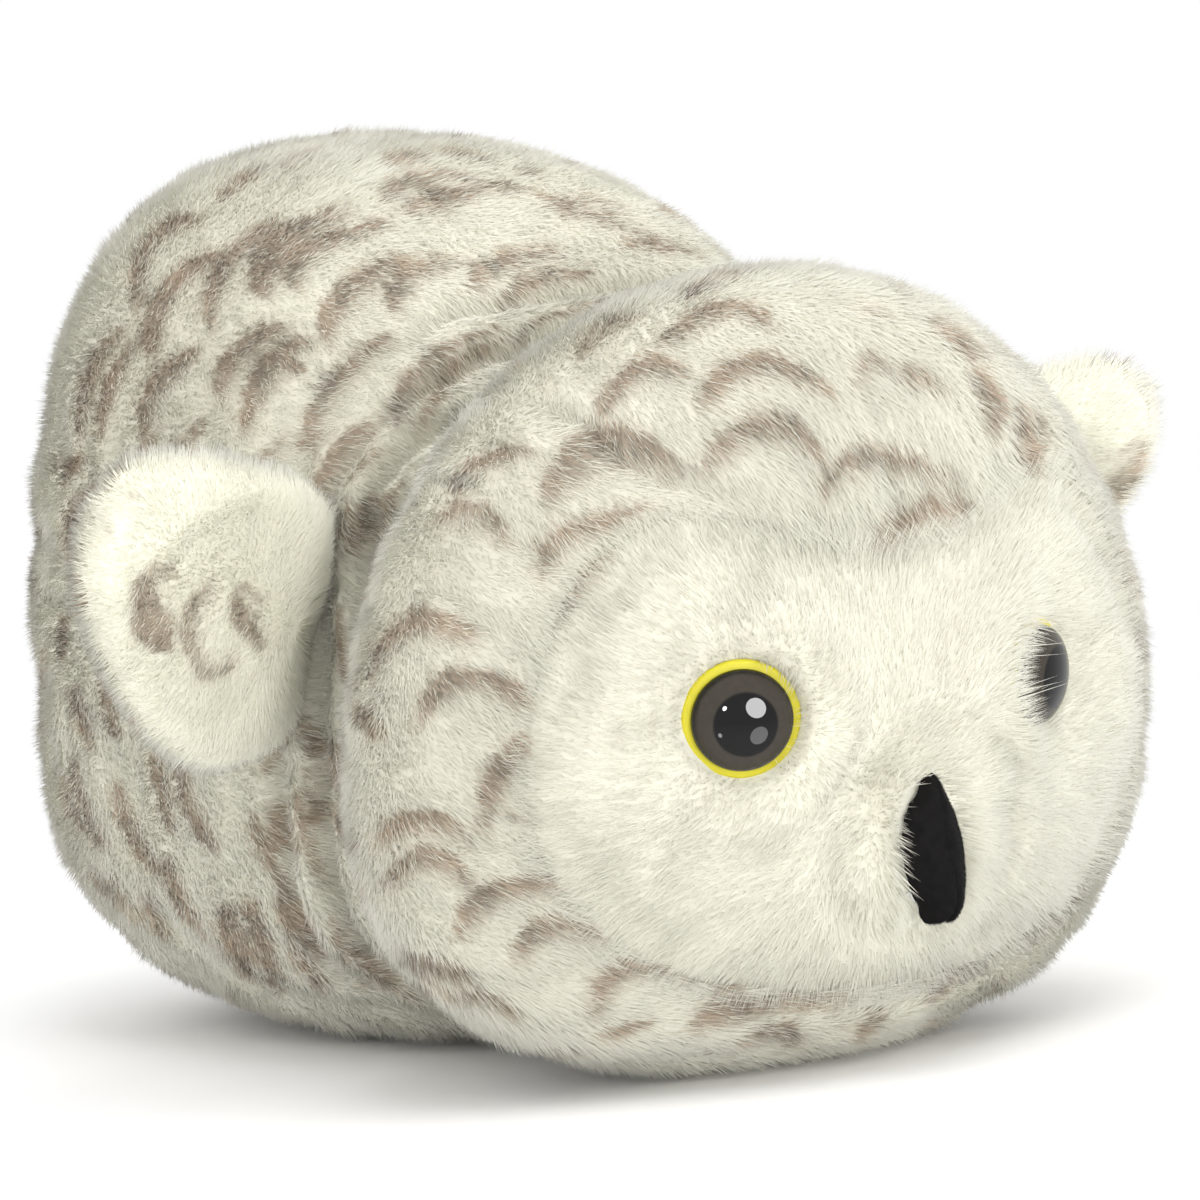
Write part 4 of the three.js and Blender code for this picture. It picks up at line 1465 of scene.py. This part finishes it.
class OWL_OT_eyes(Operator):
    """Makes the glossy eye domes, their yellow rings and their washers' finish"""

    bl_idname = "owl.eyes"
    bl_label = "Eyes"

    def execute(self, context):
        settings = context.scene.owl_eyes
        dome_finish, ring_finish = dome_material(settings), ring_material(settings)
        washer_finish = washer_material()
        for name in SIDES:
            middle, axis = eye_seat(name)
            self.dome(name, middle, axis, dome_finish)
            self.ring(name, middle, axis, ring_finish)
            washer = frame["nodes"][name + "_eye_washer"]
            washer.material_slots[0].material = washer_finish
        return {"FINISHED"}

    def measure(self, node, middle, axis):
        """The radius and the height along an axis of each of a turned node's points."""
        arms = node_points(node) - middle
        heights = arms @ axis
        radii = np.linalg.norm(arms - heights[:, None] * axis, axis=1)
        return radii, heights

    def dome(self, name, middle, axis, gloss):
        radii, heights = self.measure(name + "_eye_dome", middle, axis)
        radius, top, low = radii.max(), heights.max(), heights.min()
        back = heights[radii > 0.98 * radius].min()
        shank = radii[heights < low + 0.1 * MM].max()
        bevel = 0.35 * MM
        cap = [(radius * math.cos(turn), back + bevel + (top - back - bevel) * math.sin(turn))
               for turn in np.linspace(0, math.pi / 2, 22)[:-1]]
        profile = [(0, low), (shank, low), (shank, back), (radius - bevel, back), *cap, (0, top)]
        piece = turned(name + "_eye_cap", profile, middle, axis)
        arms = points_of(piece.data) - middle
        away = np.linalg.norm(arms - (arms @ axis)[:, None] * axis, axis=1)
        paint(piece.data, radius=away / radius)
        finish(piece, gloss, name + "_eye_dome", "torso")

    def ring(self, name, middle, axis, yellow):
        radii, heights = self.measure(name + "_eye_ring", middle, axis)
        radius, hole = radii.max(), radii.min()
        low, high = heights.min(), heights.max()
        half = (high - low) / 2
        edge = [(radius - half + half * math.cos(turn), (low + high) / 2 + half * math.sin(turn))
                for turn in np.linspace(-math.pi / 2, math.pi / 2, 9)]
        profile = [(hole, low), *edge, (hole, high), (hole, low)]
        piece = turned(name + "_eye_rim", profile, middle, axis)
        finish(piece, yellow, name + "_eye_ring", "torso")


# Beak

class OWL_OT_beak(Operator):
    """Makes the two padded velvet panels of the beak, which meet on a ridge"""

    bl_idname = "owl.beak"
    bl_label = "Beak"

    def execute(self, context):
        velvet = velvet_material()
        settings = context.scene.owl_pile
        whole = merged_copy("beak_cover", ["left_beak_panel", "right_beak_panel", "beak_stuffing"])
        modify(whole, "REMESH", mode="VOXEL", voxel_size=BEAK_CELL)
        whole = largest_island(whole)
        modify(whole, "SMOOTH", factor=0.5, iterations=3)
        modify(whole, "SUBSURF", levels=1, render_levels=1)
        places, normals = points_of(whole.data), normals_of(whole.data)
        seam = np.exp(-((places[:, 0] / RIDGE_WIDTH) ** 2)) * RIDGE_DEPTH * MM
        places -= normals * seam[:, None]
        top, low = places[:, 2].max(), places[:, 2].min()
        down = (top - places[:, 2]) / (top - low)
        lobes = np.exp(-((places[:, 0] / LOBE_WIDTH) ** 2)) * smooth(0.8, 1.0, down)
        places[:, 0] *= (BEAK_TOP_WIDTH + BEAK_WIDENS * smooth(0.0, 0.45, down)
                         - BEAK_NARROWS * smooth(0.5, 1.05, down))
        places[:, 2] += (LOBE_RISE * lobes - BEAK_DROP * smooth(0.4, 1.0, down)) * MM
        back, front = places[:, 1].max(), places[:, 1].min()
        ahead = (back - places[:, 1]) / (back - front)
        places[:, 1] -= BEAK_FORWARD * smooth(0.4, 1.0, down) * (0.6 + 0.4 * ahead)
        set_points(whole.data, places)
        places, normals, triangles = cut_along(whole, lambda spots: spots[:, 0])
        for seed, (name, sign) in enumerate(SIDES.items()):
            mine = triangles[sign * places[triangles].mean(1)[:, 0] > 0]
            piece = shell(name + "_beak_cover", places, mine, BEAK_BACKING)
            pile = Pile(places, normals, mine, VELVET_DENSITY, BEAK_SEED + seed)
            pile.keep(pile.normals[:, 1] < 0.3)
            pile.scale *= VELVET_LENGTH
            pile.lay(np.broadcast_to([0.0, 0.0, -1.0], pile.roots.shape), settings, BEAK_SEED + 10 + seed)
            pile.widths *= VELVET_WIDTH
            tufts = object_from(name + "_beak_pile", pile.mesh(name + "_beak_pile"))
            choose(piece)
            tufts.select_set(True)
            bpy.ops.object.join()
            finish(piece, velvet, name + "_beak_panel", "torso")
        bpy.data.objects.remove(whole)
        return {"FINISHED"}


# Fill

class OWL_OT_fill(Operator):
    """Makes the loose fibre inside the torso, the wings and the beak"""

    bl_idname = "owl.fill"
    bl_label = "Stuffing"

    def execute(self, context):
        fibre = fibre_material()
        for seed, (node, body, cell) in enumerate(FILL_ROWS):
            piece = merged_copy(node.replace("stuffing", "fill"), [node])
            modify(piece, "REMESH", mode="VOXEL", voxel_size=cell * MM)
            piece = largest_island(piece)
            piece.name = node.replace("stuffing", "fill")
            modify(piece, "SMOOTH", factor=0.5, iterations=4)
            places, normals = points_of(piece.data), normals_of(piece.data)
            sink = cell * MM * (0.55 + 0.12 * waves(places, 4 * cell * MM, FILL_SEED + seed))
            set_points(piece.data, places - normals * sink[:, None])
            choose(piece)
            bpy.ops.object.shade_smooth()
            finish(piece, fibre, node, body)
        return {"FINISHED"}


# Stage

def softbox(name, direction, distance, size, power, target=None):
    """A round softbox that faces a target, which is the toy's middle unless one is given."""
    if target is None:
        target = np.mean(CAD_BOX, axis=0)
    light = bpy.data.lights.new(name, "AREA")
    light.shape = "DISK"
    light.size = size
    light.energy = power
    lamp = bpy.data.objects.new(name, light)
    lamp.location = Vector(target + unit(direction) * distance)
    lamp.rotation_euler = Vector(unit(direction)).to_track_quat("Z", "Y").to_euler()
    lamp.visible_glossy = False
    bpy.context.collection.objects.link(lamp)
    return lamp


def white_seen(shader_tree):
    """Light Path's share of rays that should see plain white."""
    nodes, links = shader_tree.nodes, shader_tree.links
    path = nodes.new("ShaderNodeLightPath")
    camera_or_gloss = nodes.new("ShaderNodeMath")
    camera_or_gloss.operation = "MAXIMUM"
    links.new(path.outputs["Is Camera Ray"], camera_or_gloss.inputs[0])
    links.new(path.outputs["Is Glossy Ray"], camera_or_gloss.inputs[1])
    either = nodes.new("ShaderNodeMath")
    either.operation = "MAXIMUM"
    links.new(camera_or_gloss.outputs[0], either.inputs[0])
    links.new(path.outputs["Is Transmission Ray"], either.inputs[1])
    return either.outputs[0]


class OWL_OT_stage(Operator):
    """Sets the camera, the lamps, the room and the floor"""

    bl_idname = "owl.stage"
    bl_label = "Stage"

    def execute(self, context):
        settings = context.scene.owl_stage
        self.camera(context, settings)
        self.lamps(settings)
        self.room(context, settings)
        self.floor()
        context.scene.view_settings.view_transform = "Standard"
        return {"FINISHED"}

    def camera(self, context, settings):
        sight = Sight(settings)
        lens = bpy.data.cameras.new("camera")
        lens.lens = settings.lens
        lens.sensor_width = sight.sensor
        camera = bpy.data.objects.new("camera", lens)
        turn = Matrix((sight.right, sight.up, sight.back)).transposed()
        camera.matrix_world = Matrix.Translation(Vector(sight.place)) @ turn.to_4x4()
        context.collection.objects.link(camera)
        context.scene.camera = camera

    def lamps(self, settings):
        for name, (direction, distance, size) in SOFTBOXES.items():
            softbox(name + "_softbox", direction, distance, size, getattr(settings, name))
        self.highlights(Sight(settings))

    def highlights(self, sight):
        """Small lamps that only gloss shows, each where the near eye mirrors it to the camera."""
        dome = bpy.data.objects["right_eye_cap"].data
        tree = tree_of(points_of(dome), triangles_of(dome))
        for number, (x, y, wide, strength) in enumerate(HIGHLIGHTS):
            mirrored = []
            for step in (-0.5, 0.0, 0.5):
                ray = sight.ray(x + step * wide, y)
                normal = np.array(tree.ray_cast(Vector(sight.place), Vector(ray))[1])
                mirrored.append(unit(ray - 2 * (ray @ normal) * normal))
            start = sight.hit(tree, x, y)
            spread = math.acos(min(1.0, float(mirrored[0] @ mirrored[2])))
            distance = min(LAMP_REACH, LAMP_DROP * start[2] / max(-mirrored[1][2], 0.01))
            size = 2 * distance * math.tan(spread / 2)
            lamp = softbox(f"eye_light_{number}", mirrored[1], distance, size,
                           math.pi * size ** 2 * strength, start)
            lamp.visible_glossy = True
            lamp.visible_diffuse = False
            lamp.visible_camera = False

    def room(self, context, settings):
        world = bpy.data.worlds.new("room")
        world.use_nodes = True
        context.scene.world = world
        tree = world.node_tree
        tree.nodes.clear()
        seen = white_seen(tree)
        white = tree.nodes.new("ShaderNodeBackground")
        white.inputs["Color"].default_value = (1, 1, 1, 1)
        white.inputs["Strength"].default_value = 1.0
        light = tree.nodes.new("ShaderNodeBackground")
        light.inputs["Color"].default_value = (1, 1, 1, 1)
        light.inputs["Strength"].default_value = settings.world
        mix = tree.nodes.new("ShaderNodeMixShader")
        out = tree.nodes.new("ShaderNodeOutputWorld")
        tree.links.new(seen, mix.inputs[0])
        tree.links.new(light.outputs[0], mix.inputs[1])
        tree.links.new(white.outputs[0], mix.inputs[2])
        tree.links.new(mix.outputs[0], out.inputs["Surface"])

    def floor(self):
        """A pale floor that fades to plain white away from the toy and keeps its shadow."""
        deselect()
        bpy.ops.mesh.primitive_plane_add(size=12, location=(0, 0, -0.05 * MM))
        floor = bpy.context.object
        floor.name = "floor"
        shader = Shader("floor_white", Base_Color=(0.93, 0.93, 0.93), Roughness=0.9)
        far = shader.add("ShaderNodeVectorMath", {"operation": "LENGTH"}, shader.place(), out="Value")
        tree = shader.material.node_tree
        seen = Socket(shader, white_seen(tree))
        share = seen * shader.ramp(far, *FLOOR_FADE)
        glow = tree.nodes.new("ShaderNodeEmission")
        mix = tree.nodes.new("ShaderNodeMixShader")
        out = next(n for n in tree.nodes if n.type == "OUTPUT_MATERIAL")
        tree.links.new(share.link, mix.inputs[0])
        tree.links.new(shader.surface.outputs[0], mix.inputs[1])
        tree.links.new(glow.outputs[0], mix.inputs[2])
        tree.links.new(mix.outputs[0], out.inputs["Surface"])
        floor.data.materials.append(shader.material)


class OWL_PT_panel(Panel):
    """Lists the steps and settings of the plush owl"""

    bl_idname = "OWL_PT_panel"
    bl_label = "Plush Owl"
    bl_space_type = "VIEW_3D"
    bl_region_type = "UI"
    bl_category = "Plush Owl"

    def draw(self, context):
        for step in STEPS:
            self.layout.operator(step.bl_idname)
        for name in SETTINGS:
            group = getattr(context.scene, name)
            box = self.layout.box()
            for key in group.bl_rna.properties.keys():
                if key not in ("rna_type", "name"):
                    box.prop(group, key)


SETTINGS = {
    "owl_cover": CoverSettings, "owl_pile": PileSettings, "owl_eyes": EyeSettings,
    "owl_stage": StageSettings,
}
STEPS = (OWL_OT_torso, OWL_OT_wings, OWL_OT_eyes, OWL_OT_beak, OWL_OT_fill, OWL_OT_stage)


def register():
    for kind in (*SETTINGS.values(), *STEPS, OWL_PT_panel):
        bpy.utils.register_class(kind)
    for name, kind in SETTINGS.items():
        setattr(bpy.types.Scene, name, PointerProperty(type=kind))


def unregister():
    for name in SETTINGS:
        delattr(bpy.types.Scene, name)
    for kind in reversed((*SETTINGS.values(), *STEPS, OWL_PT_panel)):
        bpy.utils.unregister_class(kind)


def main():
    register()
    bpy.ops.owl.torso()
    bpy.ops.owl.wings()
    bpy.ops.owl.eyes()
    bpy.ops.owl.beak()
    bpy.ops.owl.fill()
    bpy.ops.owl.stage()


if __name__ == "__main__":
    main()
